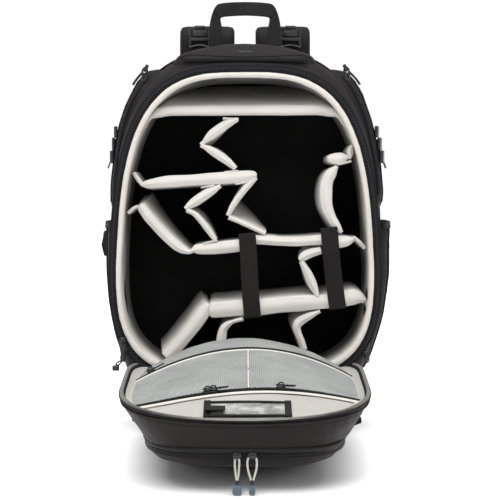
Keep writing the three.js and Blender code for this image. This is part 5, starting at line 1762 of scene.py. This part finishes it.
def side_pieces():
    for name, side in (("left", -1), ("right", 1)):
        upper = pouch_piece(side, name, "upper_pouch", UPPER, False, 191)
        lower = pouch_piece(side, name, "lower_pouch", LOWER, True, 201)

        def on_upper(z, angle, lift):
            return onto(upper, pouch_point(side, name, UPPER, z, angle), lift)

        line, ups = on_upper(np.linspace(338, 506, 80), -62, 0.8)
        make_zip(f"upper_pouch_{name}_zip", *zip_parts(line, ups, 8, pitch=1.9, tooth=(1.2, 3.0, 1.1)))
        hem, ups = onto(lower, pouch_point(side, name, LOWER, 295.0, np.linspace(-66, 66, 70)), 0.9)
        make(f"lower_pouch_{name}_hem", *sweep(hem, band_section(10, 2.2, 6), ups), mat["webbing"], "webbing")

        band, ups = on_upper(BAND_HEIGHT, np.linspace(74, -20, 60), 1.5)
        band = sweep(band, band_section(20, 2.0, 8), ups)
        make(f"compression_band_{name}", *band, mat["webbing"], "webbing", (f"compression_strap_{name}",))
        parts = []
        for rise, wide, deep, tall in ((19, 25, 5.0, 16), (2, 21, 4.2, 18), (-17, 27, 5.4, 18)):
            spot, ups = on_upper([BAND_HEIGHT + rise] * 3, -29, 3.2)
            parts.append(place(block((tall, wide, deep), 1.5), spot[1], (0, 0, 1), ups[1]))
        spot, ups = on_upper(np.linspace(392, 376, 12), -29, 2.6)
        parts.append(sweep(spot + ups * np.linspace(0, 4, 12)[:, None], band_section(16, 1.8, 5), ups))
        make(f"compression_buckle_{name}_body", *join_parts(parts), mat["buckle_plastic"], "buckle_plastic",
             (f"compression_buckle_{name}",))

        spots, ups = on_upper(np.linspace(511, 494, 10), -20, 3.0)
        grip = sweep(spots, band_section(9, 3.4, 6), ups)
        make(f"side_zip_pull_{name}_grip", *grip, mat["buckle_plastic"], "buckle_plastic",
             (f"side_zip_pull_{name}",))
        spot, ups = on_upper([502.0, 504, 506], -60, 1.2)
        parts = [slider_parts(spot[1], (0, 0.1, 1), ups[1], 1.15)]
        tip = spot[1] + ups[1] * 5
        turns = ((0, 0, 0), (2, -2, 6), (-3, -1, 11), (-5, 0, 5), (-2, -1, 0))
        loop = [tip + [side * a, b, c] for a, b, c in turns]
        parts.append(tube(curve(loop, 24), 1.2, 7))
        parts.append(place(block((11, 5, 4), 1.3), tip + [-side * 3, -1.5, 9], (-side * 0.5, 0, 1), FORWARD))
        make(f"side_zip_slider_{name}", *join_parts(parts), mat["buckle_plastic"], "buckle_plastic")


def small_pieces():
    black = mat["buckle_plastic"]
    root = SHELL["half"] + LOWER["left"][-2] + GAP
    outline = [(2, 286), (-2, 286), (-6, 266), (-2, 250), (2, 250)]
    tab = prism([(x - root, z) for x, z in outline], 22, 0.8)
    make("side_tab_fold", *moved(tab, [0, -23, 0]), mat["webbing"], "webbing", ("side_tab",))
    back = RIM_Y - 2 * GAP - ZIP_HEIGHT
    parts = [slider_parts((-172, back + 0.6, 133), (0.1, 0, 1), FORWARD, 1.1),
             slider_parts((-169.5, back + 0.6, 119), (0.15, 0, 1), FORWARD, 1.1)]
    grip = [(3.6, 12), (4.6, 6), (3.4, 0), (4.4, -7), (2.6, -12)]
    grip = prism([(-3.6, 12)] + grip + [(-x, z) for x, z in grip[:0:-1]], 3.0, 0.9)
    parts.append(moved(grip, [-171, back - 3.4, 116]))
    make("main_zip_grip", *join_parts(parts), black, "buckle_plastic", ("main_zip_pull",))
    loop = [(-173, back - 4, 104), (-177, back - 4, 100), (-181, back - 3, 99), (-179, back - 4, 103),
            (-174, back - 4.5, 106)]
    knob = moved(block((10, 7, 8), 2.6, 3), [-181, back - 4, 95.5])
    make("main_zip_toggle", *join_parts([tube(curve(loop, 24), 1.2, 7), knob]), black, "buckle_plastic")
    angle = np.linspace(0, 2 * math.pi, 24, endpoint=False)
    ring = np.stack([171 + 3.2 * np.cos(angle), np.full(24, back - 2), 107 + 4.2 * np.sin(angle)], axis=1)
    parts = [tube(ring, 0.9, 7, True, up=(0, 1, 0.01)),
             slider_parts((170, back + 0.6, 114), (-0.1, 0, 1), FORWARD)]
    make("main_zip_ring", *join_parts(parts), black, "buckle_plastic")
    parts = []
    for side, out, y, z in ((-1, 21, -232, 47), (1, 25, -238, 45)):
        outline = [(0, 8), (out * 0.55, 9), (out, 3), (out, -4), (out * 0.5, -9), (0, -8)]
        parts.append(moved(prism([(side * a, b) for a, b in outline[::side]], 6, 1.2), [side * 127, y, z]))
    make("lid_side_loops", *join_parts(parts), mat["webbing"], "webbing")


shell_piece()
lining_piece()
back_wall_piece()
rim_pieces()
hinge_piece()
lid_piece()
lid_zip_pieces()
lid_lining_pieces()
mesh_pocket_pieces()
id_window_pieces()
front_pocket_pieces()
front_pull_pieces()
divider_pieces()
elastic_pieces()
hood_pieces()
handle_piece()
strap_pieces()
side_pieces()
small_pieces()
